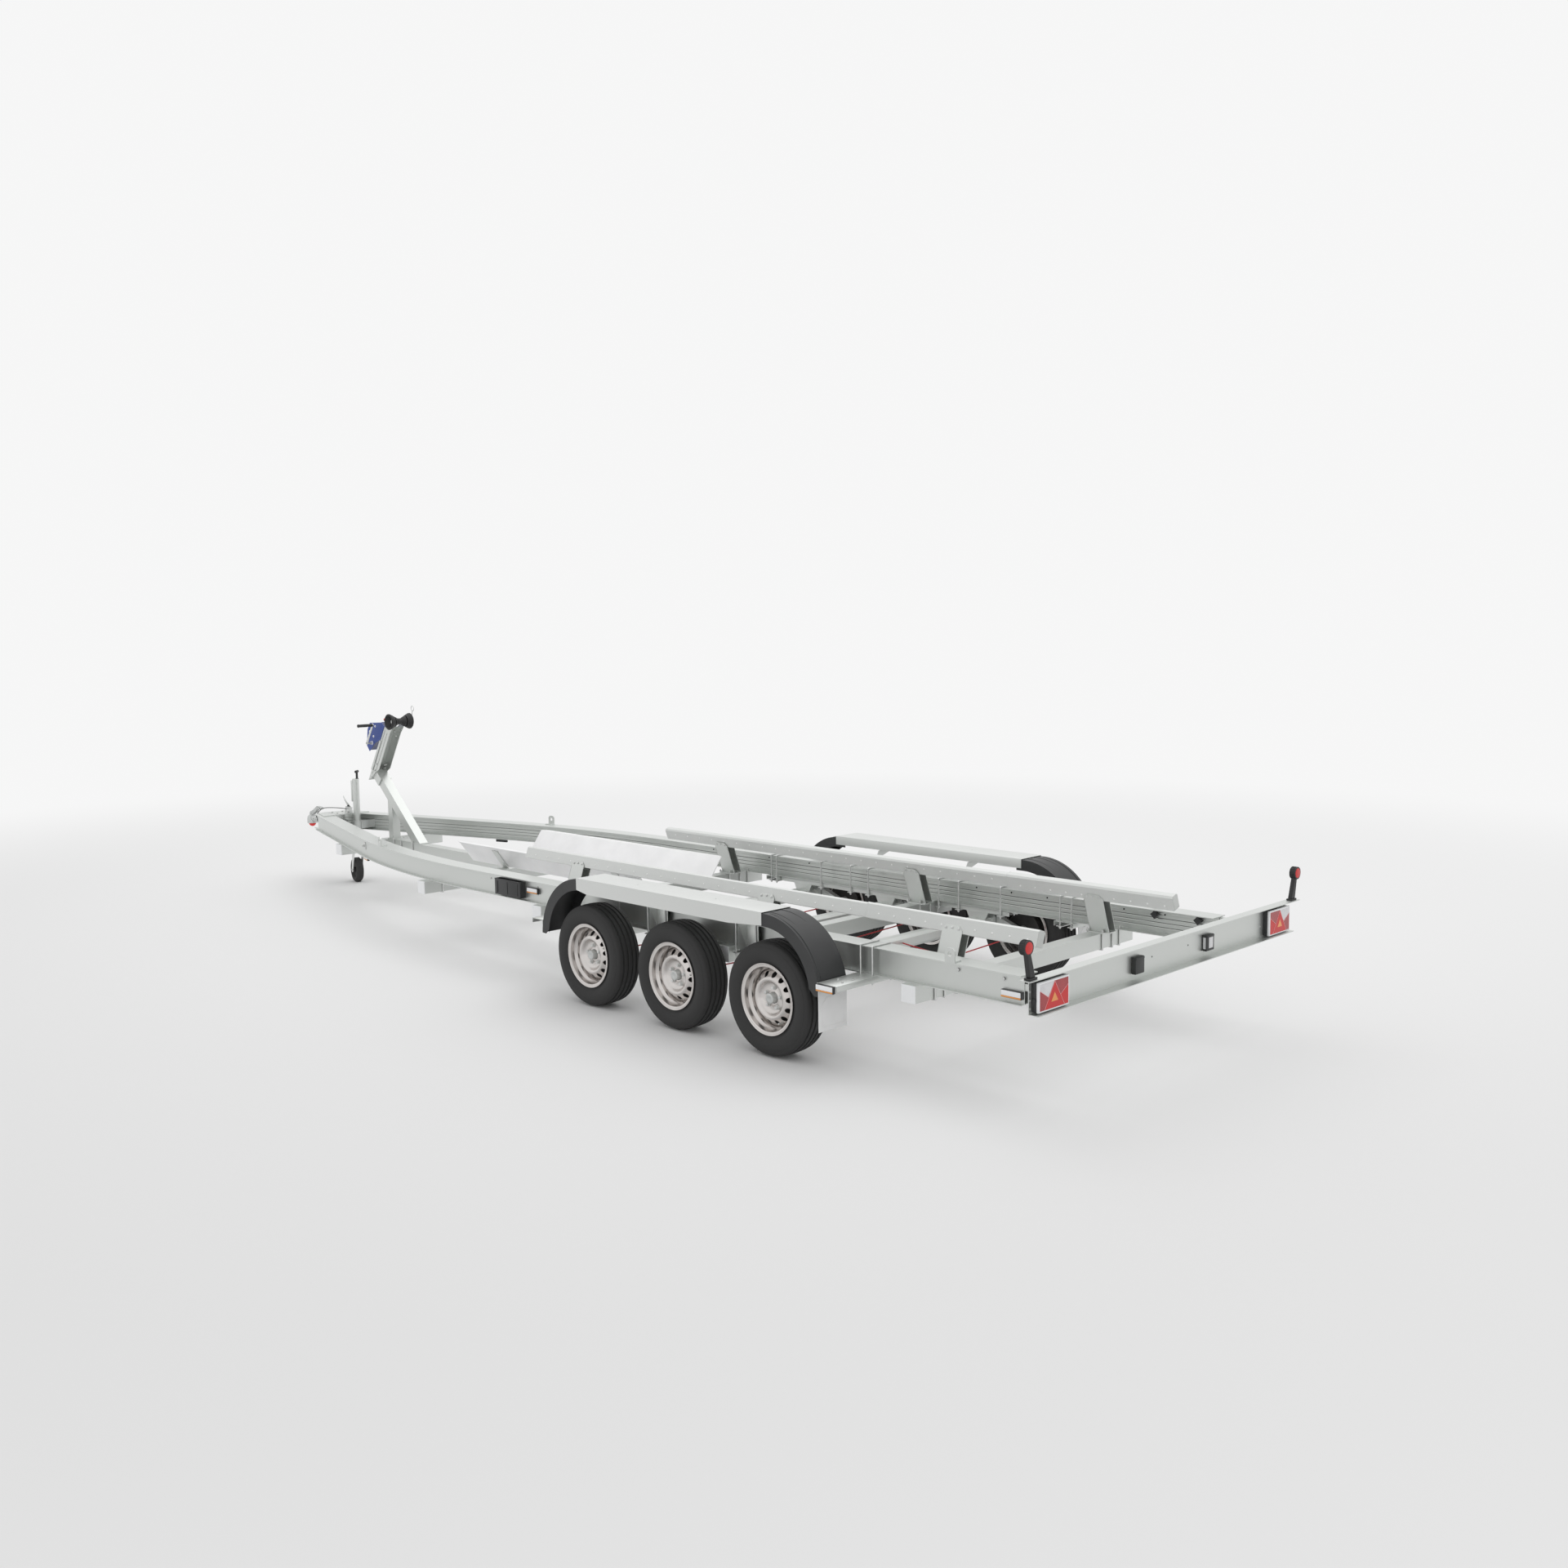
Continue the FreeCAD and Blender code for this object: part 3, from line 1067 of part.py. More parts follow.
def crank_grip():
    """Round grip of the crank."""
    grip = crank_points()[1]
    start = WINCH_WIDTH / 2 + SEAT_GAP + CRANK_OFFSET
    return in_bracket_frame(bar_y(grip[0], grip[1], (start, start + GRIP_LENGTH), GRIP_RADIUS))


def ratchet_knob():
    """Knob on top of the winch."""
    face = BRACKET_DEPTH / 2
    knob = rod(vec(face + 22, -30, 456), vec(face + 18, -30, 456 + KNOB_LENGTH), KNOB_RADIUS)
    return in_bracket_frame(knob)


def snap_hook():
    """Wire loop that stands beside the roller on its pin's tongue."""
    y = -ROLLER_HALF_WIDTH - 8
    top = ROLLER_Z + ROLLER_RIM_RADIUS + 18
    stem = rod(vec(ROLLER_X - 10, y, ROLLER_Z - 5), vec(ROLLER_X - 30, y, top), HOOK_WIRE_RADIUS)
    centre = vec(ROLLER_X - 34, y, top + HOOK_LOOP_RADIUS)
    loop = Part.makeTorus(HOOK_LOOP_RADIUS, HOOK_WIRE_RADIUS, centre, vec(0, 1, 0))
    pin_end = -ROLLER_HALF_WIDTH + ROLLER_BELL_DEPTH - PIN_NUT_THICKNESS + ROLLER_CLEARANCE
    foot = bar_y(ROLLER_X - 10, ROLLER_Z - 5, (y, pin_end), HOOK_WIRE_RADIUS)
    return joined([stem, loop, foot])


def nose_y(x, offset):
    """Distance of a line on the nose run from the centreline, offset inwards from the outer edge."""
    angle = math.radians(BEND_ANGLE)
    end_x = BEND_START_X + BEND_OUTER_RADIUS * math.sin(angle)
    end_y = BEND_CENTRE_Y + BEND_OUTER_RADIUS * math.cos(angle)
    return end_y - (x - end_x) * math.tan(angle) - offset / math.cos(angle)


def nose_plates():
    """Plates above and below the beams' front ends that tie them together."""
    x = (HOUSING_REAR_X - 60, BEAM_FRONT_X - 20)
    plates = []
    for z in ((BEAM_BOTTOM - NOSE_PLATE, BEAM_BOTTOM), (BEAM_TOP, BEAM_TOP + NOSE_PLATE)):
        rear = nose_y(x[0], 30)
        front = nose_y(x[1], 30)
        plates.append(prism_z([(x[0], rear), (x[1], front), (x[1], -front), (x[0], -rear)], z))
    return plates


def overrun_housing():
    """Cast housing between the beams, with its flange plates above and below."""
    body = rod(vec(HOUSING_REAR_X, 0, HOUSING_Z), vec(HOUSING_FRONT_X, 0, HOUSING_Z), HOUSING_RADIUS)
    bore = rod(vec(HOUSING_REAR_X, 0, HOUSING_Z), vec(HOUSING_FRONT_X, 0, HOUSING_Z), DRAWTUBE_RADIUS + SEAT_GAP)
    web = box((HOUSING_REAR_X, HOUSING_FRONT_X - 90), (-12, 12), (BEAM_BOTTOM, BEAM_TOP))
    return joined([body, web] + nose_plates()).cut(bore)


def draw_tube():
    """Sliding draw tube from the housing to the coupling head."""
    return rod(vec(HOUSING_REAR_X + 20, 0, HOUSING_Z), vec(BALL_X - 60, 0, HOUSING_Z), DRAWTUBE_RADIUS)


def gaiter():
    """Bellows over the draw tube."""
    rear = HOUSING_FRONT_X + SEAT_GAP
    count = 6
    pitch = (GAITER_FRONT_X - rear) / count
    bore = DRAWTUBE_RADIUS + SEAT_GAP
    outline = [(rear, bore), (rear, HOUSING_RADIUS - 8)]
    for index in range(count):
        outline += [(rear + (index + 0.5) * pitch, HOUSING_RADIUS - 2), (rear + (index + 1) * pitch, HOUSING_RADIUS - 9)]
    outline.append((GAITER_FRONT_X, bore))
    face = closed_face([vec(x, 0, HOUSING_Z + radius) for x, radius in outline])
    return face.revolve(vec(0, 0, HOUSING_Z), vec(1, 0, 0), 360)


def coupling_head():
    """Pressed coupling head with its round socket over the ball."""
    rear = GAITER_FRONT_X + SEAT_GAP
    top = HEAD_TOP
    bottom = BALL_Z - 8
    body = rod(vec(BALL_X, 0, bottom), vec(BALL_X, 0, top), HEAD_RADIUS + 6)
    neck = rod(vec(rear, 0, HOUSING_Z), vec(BALL_X, 0, HOUSING_Z), DRAWTUBE_RADIUS + 8)
    nose = prism_y([(BALL_X, bottom), (COUPLING_TIP_X - 10, bottom + 6), (COUPLING_TIP_X, bottom + 18),
                    (COUPLING_TIP_X - 14, bottom + 42), (BALL_X + 20, top)], (-26, 26))
    socket = Part.makeSphere(SOFT_BALL_RADIUS + SEAT_GAP, vec(BALL_X, 0, BALL_Z))
    mouth = rod(vec(BALL_X, 0, bottom - 1), vec(BALL_X, 0, BALL_Z), SOFT_BALL_RADIUS + SEAT_GAP)
    return joined([body, neck, nose, draw_tube()]).cut([socket, mouth])


def soft_ball():
    """Soft ball that fills the coupling's socket while it is parked."""
    return Part.makeSphere(SOFT_BALL_RADIUS, vec(BALL_X, 0, BALL_Z))


def coupling_handle():
    """Curved handle on top of the coupling head."""
    top = HEAD_TOP + SEAT_GAP
    outline = [(BALL_X - 14, top), (BALL_X + 22, top), (BALL_X + 6, top + 44), (BALL_X - 90, top + 92),
               (BALL_X - 196, top + 104), (BALL_X - 202, top + 92), (BALL_X - 94, top + 74), (BALL_X - 24, top + 30)]
    return prism_y(outline, (-17, 17))


def along_lever(start, end, half_width, y):
    """Flat bar between two lengths along the handbrake lever's leaning line."""
    bar = box((-half_width, half_width), y, (start, end))
    bar.rotate(vec(0, 0, 0), vec(0, 1, 0), LEVER_LEAN)
    return moved(bar, x=HOUSING_REAR_X, z=BEAM_TOP + NOSE_PLATE)


def handbrake_lever():
    """Handbrake lever with its quadrant plate beside the housing."""
    y = (-HOUSING_RADIUS - 16, -HOUSING_RADIUS - 8)
    foot = BEAM_TOP + NOSE_PLATE
    quadrant = prism_y([(HOUSING_REAR_X - 40, foot), (HOUSING_REAR_X + 90, foot), (HOUSING_REAR_X + 60, foot + 46),
                        (HOUSING_REAR_X - 20, foot + 46)], y)
    lever = along_lever(LEVER_WIDTH, LEVER_LENGTH, LEVER_WIDTH / 2, (y[0] - LEVER_THICKNESS, y[0]))
    return joined([quadrant, lever])


def brake_grip():
    """Grip on the lever's upper end."""
    y = -HOUSING_RADIUS - 16 - LEVER_THICKNESS / 2
    lean = math.radians(LEVER_LEAN)
    start = LEVER_LENGTH + SEAT_GAP
    end = start + LEVER_GRIP
    foot = BEAM_TOP + NOSE_PLATE
    return rod(vec(HOUSING_REAR_X + start * math.sin(lean), y, foot + start * math.cos(lean)),
               vec(HOUSING_REAR_X + end * math.sin(lean), y, foot + end * math.cos(lean)), LEVER_GRIP_RADIUS)


def jockey_clamp():
    """Split collar that holds the jockey tube on the right beam."""
    z = (BEAM_BOTTOM + 20, BEAM_BOTTOM + 20 + CLAMP_HEIGHT)
    collar = rod(vec(JOCKEY_X, JOCKEY_Y, z[0]), vec(JOCKEY_X, JOCKEY_Y, z[1]), CLAMP_RADIUS)
    edge = -nose_y(JOCKEY_X, BEAM_FLANGE_OUTER + BEAM_WEB_WIDTH)
    slope = math.tan(math.radians(BEND_ANGLE))
    arm_half = 30.0
    arm = prism_z([(JOCKEY_X - arm_half, JOCKEY_Y), (JOCKEY_X + arm_half, JOCKEY_Y),
                   (JOCKEY_X + arm_half, edge + slope * arm_half), (JOCKEY_X - arm_half, edge - slope * arm_half)], z)
    bore = rod(vec(JOCKEY_X, JOCKEY_Y, z[0]), vec(JOCKEY_X, JOCKEY_Y, z[1]), JOCKEY_TUBE_RADIUS + SEAT_GAP)
    return joined([collar, arm]).cut(bore)


def jockey_tube():
    """Outer tube of the jockey wheel with its closed head."""
    outside = rod(vec(JOCKEY_X, JOCKEY_Y, JOCKEY_TUBE_BOTTOM), vec(JOCKEY_X, JOCKEY_Y, JOCKEY_TUBE_TOP), JOCKEY_TUBE_RADIUS)
    inside = rod(vec(JOCKEY_X, JOCKEY_Y, JOCKEY_TUBE_BOTTOM), vec(JOCKEY_X, JOCKEY_Y, JOCKEY_TUBE_TOP - 20),
                 JOCKEY_TUBE_RADIUS - JOCKEY_TUBE_WALL)
    return outside.cut(inside)


def jockey_knob():
    """T-handle that winds the jockey wheel."""
    top = JOCKEY_TUBE_TOP
    stem = rod(vec(JOCKEY_X, JOCKEY_Y, top), vec(JOCKEY_X, JOCKEY_Y, top + 60), 12.0)
    bar = rod(vec(JOCKEY_X - 42, JOCKEY_Y, top + 64), vec(JOCKEY_X + 42, JOCKEY_Y, top + 64), 15.0)
    return joined([stem, bar])


def in_jockey_heading(shape):
    """Copy of a jockey piece turned to the wheel's heading about the tube."""
    copy = shape.copy()
    copy.rotate(vec(JOCKEY_X, JOCKEY_Y, 0), vec(0, 0, 1), JOCKEY_HEADING)
    return copy


def jockey_leg():
    """Inner tube with the fork that carries the jockey wheel."""
    fork_half = JOCKEY_WHEEL_WIDTH / 2 + 8
    hub_x = JOCKEY_X + JOCKEY_TRAIL
    hub_z = JOCKEY_WHEEL_RADIUS
    crown_z = JOCKEY_TUBE_BOTTOM - 70
    leg = rod(vec(JOCKEY_X, JOCKEY_Y, crown_z), vec(JOCKEY_X, JOCKEY_Y, JOCKEY_LEG_TOP), JOCKEY_LEG_RADIUS)
    crown = box((JOCKEY_X - 32, JOCKEY_X + 40), (JOCKEY_Y - fork_half - JOCKEY_FORK_PLATE, JOCKEY_Y + fork_half + JOCKEY_FORK_PLATE),
                (crown_z - 8, crown_z))
    pieces = [leg, crown]
    half = JOCKEY_FORK_WIDTH / 2
    for low in (JOCKEY_Y - fork_half - JOCKEY_FORK_PLATE, JOCKEY_Y + fork_half):
        y = (low, low + JOCKEY_FORK_PLATE)
        pieces.append(prism_y([(JOCKEY_X - 32, crown_z), (JOCKEY_X + 40, crown_z), (hub_x + half, hub_z), (hub_x - half, hub_z)], y))
        pieces.append(bar_y(hub_x, hub_z, y, half))
    end = fork_half + JOCKEY_FORK_PLATE + 6
    pieces.append(bar_y(hub_x, hub_z, (JOCKEY_Y - end, JOCKEY_Y + end), JOCKEY_AXLE_RADIUS))
    return in_jockey_heading(joined(pieces))


def jockey_wheel():
    """Solid tyre on its pressed wheel, bored for the fork's axle."""
    half = JOCKEY_WHEEL_WIDTH / 2
    radius = JOCKEY_WHEEL_RADIUS
    bore = JOCKEY_AXLE_RADIUS + RUNNING_FIT
    hub_half = half + 6
    outline = [(-hub_half, bore), (-hub_half, JOCKEY_HUB_RADIUS), (-12, JOCKEY_HUB_RADIUS + 6), (-12, 62), (-half + 6, 74),
               (-half, 84), (-half, radius - 12), (-half + 12, radius), (half - 12, radius), (half, radius - 12),
               (half, 84), (half - 6, 74), (12, 62), (12, JOCKEY_HUB_RADIUS + 6), (hub_half, JOCKEY_HUB_RADIUS), (hub_half, bore)]
    wheel = moved(turned(outline), x=JOCKEY_X + JOCKEY_TRAIL, y=JOCKEY_Y, z=radius)
    return in_jockey_heading(wheel)


def light_bar():
    """Channel bar open to the rear, its upper flange longer than the rest."""
    top = box((BAR_REAR_X, BAR_FRONT_X), (-BAR_TOP_HALF, BAR_TOP_HALF), (BAR_TOP - BAR_WALL, BAR_TOP))
    web = box((BAR_FRONT_X - BAR_WALL, BAR_FRONT_X), (-BAR_HALF, BAR_HALF), (BAR_BOTTOM, BAR_TOP))
    bottom = box((BAR_REAR_X, BAR_FRONT_X), (-BAR_HALF, BAR_HALF), (BAR_BOTTOM, BAR_BOTTOM + BAR_WALL))
    return joined([top, web, bottom])


def slide_arm():
    """Left arm of the light bar, slotted for the clamping bolts in the beam."""
    outer = BEAM_WEB_OUTER_Y - BEAM_WALL - SEAT_GAP
    y = (outer - SLIDE_WIDTH, outer)
    top = BEAM_TOP - BEAM_FLANGE - SLIDE_GAP
    arm = box((BAR_FRONT_X, SLIDE_FRONT_X), y, (top - SLIDE_HEIGHT, top))
    half = SLIDE_SLOT_HEIGHT / 2
    slot = box((SLIDE_SLOT_REAR_X, SLIDE_SLOT_FRONT_X), (y[0] - 1, y[1] + 1), (SLIDE_SLOT_Z - half, SLIDE_SLOT_Z + half))
    return arm.cut(slot)


def star_knob(x):
    """Left clamping knob: a four-lobed grip on a bolt through the beam."""
    face = BEAM_WEB_INNER_Y
    lobe = 26.0
    waist = 17.0
    points = []
    for index in range(8):
        radius = lobe if index % 2 == 0 else waist
        angle = math.pi / 4 * index
        points.append((x + radius * math.cos(angle), SLIDE_SLOT_Z + radius * math.sin(angle)))
    grip = prism_y(points, (face - 34, face - 12))
    neck = bar_y(x, SLIDE_SLOT_Z, (face - 12, face - SEAT_GAP), 11.0)
    bolt = bar_y(x, SLIDE_SLOT_Z, (face - 12, BEAM_WEB_OUTER_Y + 9), KNOB_BOLT_RADIUS)
    nut = bar_y(x, SLIDE_SLOT_Z, (BEAM_WEB_OUTER_Y + SEAT_GAP, BEAM_WEB_OUTER_Y + 7), 9.0)
    return joined([grip, neck, bolt, nut])


def star_knobs():
    """Two knobs on each beam."""
    return both_sides([star_knob(x) for x in KNOB_XS])


def lamp_limits():
    """Y and Z limits of the left tail lamp."""
    return ((LAMP_CENTRE_Y - LAMP_WIDTH / 2, LAMP_CENTRE_Y + LAMP_WIDTH / 2),
            (LAMP_CENTRE_Z - LAMP_HEIGHT / 2, LAMP_CENTRE_Z + LAMP_HEIGHT / 2))


def tail_lamp():
    """Left tail lamp housing with its frame round the lens."""
    y, z = lamp_limits()
    front = BAR_FRONT_X - BAR_WALL
    rear = front - LAMP_DEPTH
    body = box((rear, front), y, z)
    inset = LAMP_FRAME
    recess = box((rear, rear + LAMP_LENS_DEPTH), (y[0] + inset, y[1] - inset), (z[0] + inset, z[1] - inset))
    return body.cut(recess)


def tail_lens():
    """Left lens panel inside the lamp's frame."""
    y, z = lamp_limits()
    rear = BAR_FRONT_X - BAR_WALL - LAMP_DEPTH
    inset = LAMP_FRAME + SEAT_GAP
    return box((rear + 1, rear + LAMP_LENS_DEPTH), (y[0] + inset, y[1] - inset), (z[0] + inset, z[1] - inset))


def outline_lamp():
    """Left outline lamp: a foot, a leaning rubber arm and a round head."""
    x = (BAR_REAR_X + BAR_FRONT_X) / 2
    foot_y = BAR_TOP_HALF - OUTLINE_FOOT / 2 - 14
    foot = box((x - 16, x + 16), (foot_y - OUTLINE_FOOT / 2, foot_y + OUTLINE_FOOT / 2), (BAR_TOP, BAR_TOP + 10))
    head_z = BAR_TOP + OUTLINE_RISE + 22
    head_y = min(foot_y + OUTLINE_LEAN, BAR_TOP_HALF - OUTLINE_HEAD_RADIUS + OUTLINE_LEAN)
    arm = prism_x([(foot_y - 22, BAR_TOP + 10), (foot_y + 22, BAR_TOP + 10), (head_y + 10, head_z), (head_y - 14, head_z)], (x - 12, x + 12))
    head = rod(vec(x - OUTLINE_HEAD_DEPTH / 2, head_y, head_z), vec(x + OUTLINE_HEAD_DEPTH / 2, head_y, head_z), OUTLINE_HEAD_RADIUS)
    return joined([foot, arm, head])


def plate_lamp():
    """Left number-plate lamp on the bar's web."""
    return box((BAR_FRONT_X - BAR_WALL - 26, BAR_FRONT_X - BAR_WALL), (300.0, 380.0), (570.0, 655.0))


def bar_lamps():
    """Outline and number-plate lamps on the light bar."""
    return both_sides([outline_lamp(), plate_lamp()])


def side_marker(x, z):
    """Side marker lamp on the left beam's web."""
    y = BEAM_WEB_OUTER_Y
    return box((x - MARKER_LENGTH / 2, x + MARKER_LENGTH / 2), (y, y + MARKER_DEPTH), (z - MARKER_HEIGHT / 2, z + MARKER_HEIGHT / 2))


def side_markers():
    """Marker lamps on both beams and under the nose."""
    rear = side_marker(BEAM_REAR_X + 75, BEAM_BOTTOM + 44)
    middle = side_marker(2538.0, BEAM_BOTTOM + 78)
    y = nose_y(5250.0, 40)
    front = box((5190.0, 5310.0), (y - 22, y), (BEAM_BOTTOM - 40, BEAM_BOTTOM))
    return both_sides([rear, middle, front])


def chock_holder():
    """Box for a wheel chock on the left beam's web."""
    y = (BEAM_WEB_OUTER_Y, BEAM_WEB_OUTER_Y + 90)
    outline = [(2650.0, 500.0), (2910.0, 500.0), (2910.0, 585.0), (2700.0, 608.0), (2650.0, 560.0)]
    body = prism_y(outline, y)
    inner = [(2654.0, 504.0), (2906.0, 504.0), (2906.0, 620.0), (2700.0, 620.0), (2654.0, 560.0)]
    return body.cut(prism_y(inner, (y[0] + 4, y[1] - 4)))


def build():
    """Write every piece."""
    os.makedirs("parts", exist_ok=True)
    write_wheels()
    write("main_beam_left", [main_beam()])
    write("main_beam_right", [mirrored(main_beam())])
    write("cross_tubes", cross_tubes())
    write("cross_tube_caps", tube_caps())
    write("spine_tube", [spine_tube()])
    write("axle_rails", axle_rails())
    write("axle_tubes", axles())
    write("trailing_arms", both_sides([trailing_arm(x) for x in AXLE_XS]))
    write("brake_backplates", both_sides([backplate(x) for x in AXLE_XS]))
    write("beam_clamps", beam_clamps())
    write("mudguard_plates", both_sides([guard_top()]))
    write("mudguard_quarters", quarter_guards())
    write("mudguard_stays", guard_stays() + both_sides([end_bar()]))
    write("mud_flaps", both_sides([mud_flap()]))
    write("bunks_rear", both_sides([bunk_rear()]))
    write("bunks_front", both_sides([bunk_front()]))
    write("bunk_posts", bunk_posts())
    write("guide_plates", both_sides([guide_plate()]))
    write("guide_brackets", guide_brackets())
    write("tie_down_eyes", tie_down_eyes())
    write("winch_post", [winch_post()])
    write("winch_bracket", [winch_bracket()])
    write("bow_roller", bow_roller())
    write("roller_pin", [joined([roller_pin(), snap_hook()])])
    write("winch_housing", [winch_housing()])
    write("winch_crank", [winch_drum(), winch_crank()])
    write("hand_grips", [crank_grip(), brake_grip()])
    write("ratchet_knob", [ratchet_knob()])
    write("overrun_housing", [overrun_housing()])
    write("gaiter", [gaiter()])
    write("coupling_head", [coupling_head()])
    write("soft_ball", [soft_ball()])
    write("coupling_handle", [coupling_handle()])
    write("handbrake_lever", [handbrake_lever()])
    write("jockey_clamp", [jockey_clamp()])
    write("jockey_tube", [jockey_tube()])
    write("jockey_knob", [jockey_knob()])
    write("jockey_leg", [jockey_leg()])
    write("jockey_wheel", [jockey_wheel()])
    write("light_bar", [light_bar()])
    write("light_bar_arms", both_sides([slide_arm()]))
    write("star_knobs", star_knobs())
    write("tail_lamps", both_sides([tail_lamp()]))
    write("tail_lenses", both_sides([tail_lens()]))
    write("bar_lamps", bar_lamps())
    write("side_markers", side_markers())
    write("chock_holder", [chock_holder()])


build()
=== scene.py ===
"""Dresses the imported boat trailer: finishes for every part, its tyres, rims and small hardware, and a pale studio."""
import logging
import math
from contextlib import contextmanager
from dataclasses import dataclass
from enum import Enum
from typing import Iterable, Iterator, Optional, Sequence

import bpy
from mathutils import Matrix, Vector


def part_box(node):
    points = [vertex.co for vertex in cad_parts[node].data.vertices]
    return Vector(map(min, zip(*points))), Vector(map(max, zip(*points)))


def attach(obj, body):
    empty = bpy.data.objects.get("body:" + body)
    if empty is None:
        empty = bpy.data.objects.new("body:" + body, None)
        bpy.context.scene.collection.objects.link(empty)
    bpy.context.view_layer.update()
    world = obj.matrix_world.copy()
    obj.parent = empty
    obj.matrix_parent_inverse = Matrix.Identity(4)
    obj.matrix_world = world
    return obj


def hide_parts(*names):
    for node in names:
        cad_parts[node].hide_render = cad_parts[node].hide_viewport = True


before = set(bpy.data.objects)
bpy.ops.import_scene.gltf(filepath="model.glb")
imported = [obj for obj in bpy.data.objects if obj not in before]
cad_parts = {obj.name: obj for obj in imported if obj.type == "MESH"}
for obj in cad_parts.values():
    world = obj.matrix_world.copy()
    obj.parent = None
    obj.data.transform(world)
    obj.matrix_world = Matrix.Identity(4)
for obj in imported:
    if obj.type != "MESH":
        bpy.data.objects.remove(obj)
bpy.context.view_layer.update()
LOG = logging.getLogger("trailer")

Pair = tuple[float, float]
Triple = tuple[float, float, float]
Piece = bpy.types.Object
Socket = bpy.types.NodeSocket
Y_AXIS = Vector((0, 1, 0))
DRIFT_ENDS: Pair = (0.35, 0.68)
MM = 1000  # millimetres in a metre
HEX = 6  # sides of a bolt head or nut
MERGE = 0.00002  # corners nearer than this, in metres, become one
SOFT = 32  # edges gentler than this many degrees are shaded smooth
CRISP = 40  # the same for pieces with rounded edges


class Relief(Enum):
    """The kinds of fine relief that a finish can have."""

    CAST = "cast"
    SPANGLE = "spangle"
    PRISMS = "prisms"


class NodeTree:
    """A node tree, with a short call to add and join its nodes."""

    def __init__(self, tree: bpy.types.NodeTree) -> None:
        """Takes over a tree and empties it."""
        self.tree = tree
        tree.nodes.clear()

    def add(self, kind: str, inputs: Optional[dict] = None, **settings: object) -> bpy.types.Node:
        """Adds a node.

        Args:
            kind: The node's type, without its ShaderNode prefix.
            inputs: Values, or sockets to link, by the input's name or number.
            settings: Attributes of the node.

        Returns:
            The new node.
        """
        node = self.tree.nodes.new("ShaderNode" + kind)
        for attribute, value in settings.items():
            setattr(node, attribute, value)
        for key, value in (inputs or {}).items():
            if isinstance(value, Socket):
                self.tree.links.new(value, node.inputs[key])
            else:
                node.inputs[key].default_value = value
        return node

    def directly_seen(self) -> Socket:
        """Socket that is 1 for camera, glossy and transmission rays."""
        rays = self.add("LightPath").outputs
        two = self.add("Math", {0: rays["Is Camera Ray"], 1: rays["Is Glossy Ray"]}, operation="ADD").outputs[0]
        return self.add("Math", {0: two, 1: rays["Is Transmission Ray"]}, operation="ADD", use_clamp=True).outputs[0]


@dataclass(frozen=True)
class Finish:
    """A procedural surface: two colours that drift into each other, gloss and fine relief."""

    name: str
    colour: Triple
    drift_colour: Triple
    metallic: float = 0
    roughness: float = 0.5
    roughness_spread: float = 0.05
    drift_per_metre: float = 20
    grain_per_metre: float = 500
    relief: Relief = Relief.CAST
    relief_depth: float = 0.0004
    relief_strength: float = 0.2
    stretch: Triple = (1, 1, 1)
    coat: float = 0
    specular: float = 0.5

    def material(self) -> bpy.types.Material:
        """The finish as a Blender material, made at its first use."""
        material = bpy.data.materials.get(self.name)
        if material:
            return material
        material = bpy.data.materials.new(self.name)
        material.use_nodes = True
        nodes = NodeTree(material.node_tree)
        place = nodes.add("TexCoord").outputs["Object"]
        long = nodes.add("Mapping", {"Vector": place, "Scale": self.stretch}).outputs["Vector"]
        drift = nodes.add("TexNoise", {"Vector": long, "Scale": self.drift_per_metre, "Detail": 5})
        ramp = nodes.add("ValToRGB", {"Fac": drift.outputs["Fac"]})
        for element, end, colour in zip(ramp.color_ramp.elements, DRIFT_ENDS, (self.drift_colour, self.colour)):
            element.position = end
            element.color = (*colour, 1)
        height = self.height(nodes, place, long)
        rough = nodes.add("MapRange", {"Value": height, "To Min": self.roughness - self.roughness_spread,
                                       "To Max": self.roughness + self.roughness_spread})
        bump = nodes.add("Bump", {"Height": height, "Strength": self.relief_strength, "Distance": self.relief_depth})
        shader = nodes.add("BsdfPrincipled", {
            "Base Color": ramp.outputs["Color"], "Metallic": self.metallic, "Roughness": rough.outputs["Result"],
            "Normal": bump.outputs["Normal"], "Coat Weight": self.coat, "Coat Roughness": 0.12,
            "Specular IOR Level": self.specular})
        nodes.add("OutputMaterial", {"Surface": shader.outputs["BSDF"]})
        return material

    def height(self, nodes: NodeTree, place: Socket, long: Socket) -> Socket:
        """The relief's height from 0 to 1.

        Args:
            nodes: The tree that the relief is added to.
            place: Object coordinates.
            long: The same, stretched along the piece.

        Returns:
            The height's socket.
        """
        grain = {"Vector": long if self.relief is Relief.SPANGLE else place, "Scale": self.grain_per_metre}
        if self.relief is Relief.SPANGLE:
            cells = nodes.add("TexVoronoi", {**grain, "Randomness": 1})
            return nodes.add("RGBToBW", {"Color": cells.outputs["Color"]}).outputs["Val"]
        if self.relief is Relief.PRISMS:
            return nodes.add("TexVoronoi", {**grain, "Randomness": 0}).outputs["Distance"]
        return nodes.add("TexNoise", {**grain, "Detail": 4}).outputs["Fac"]


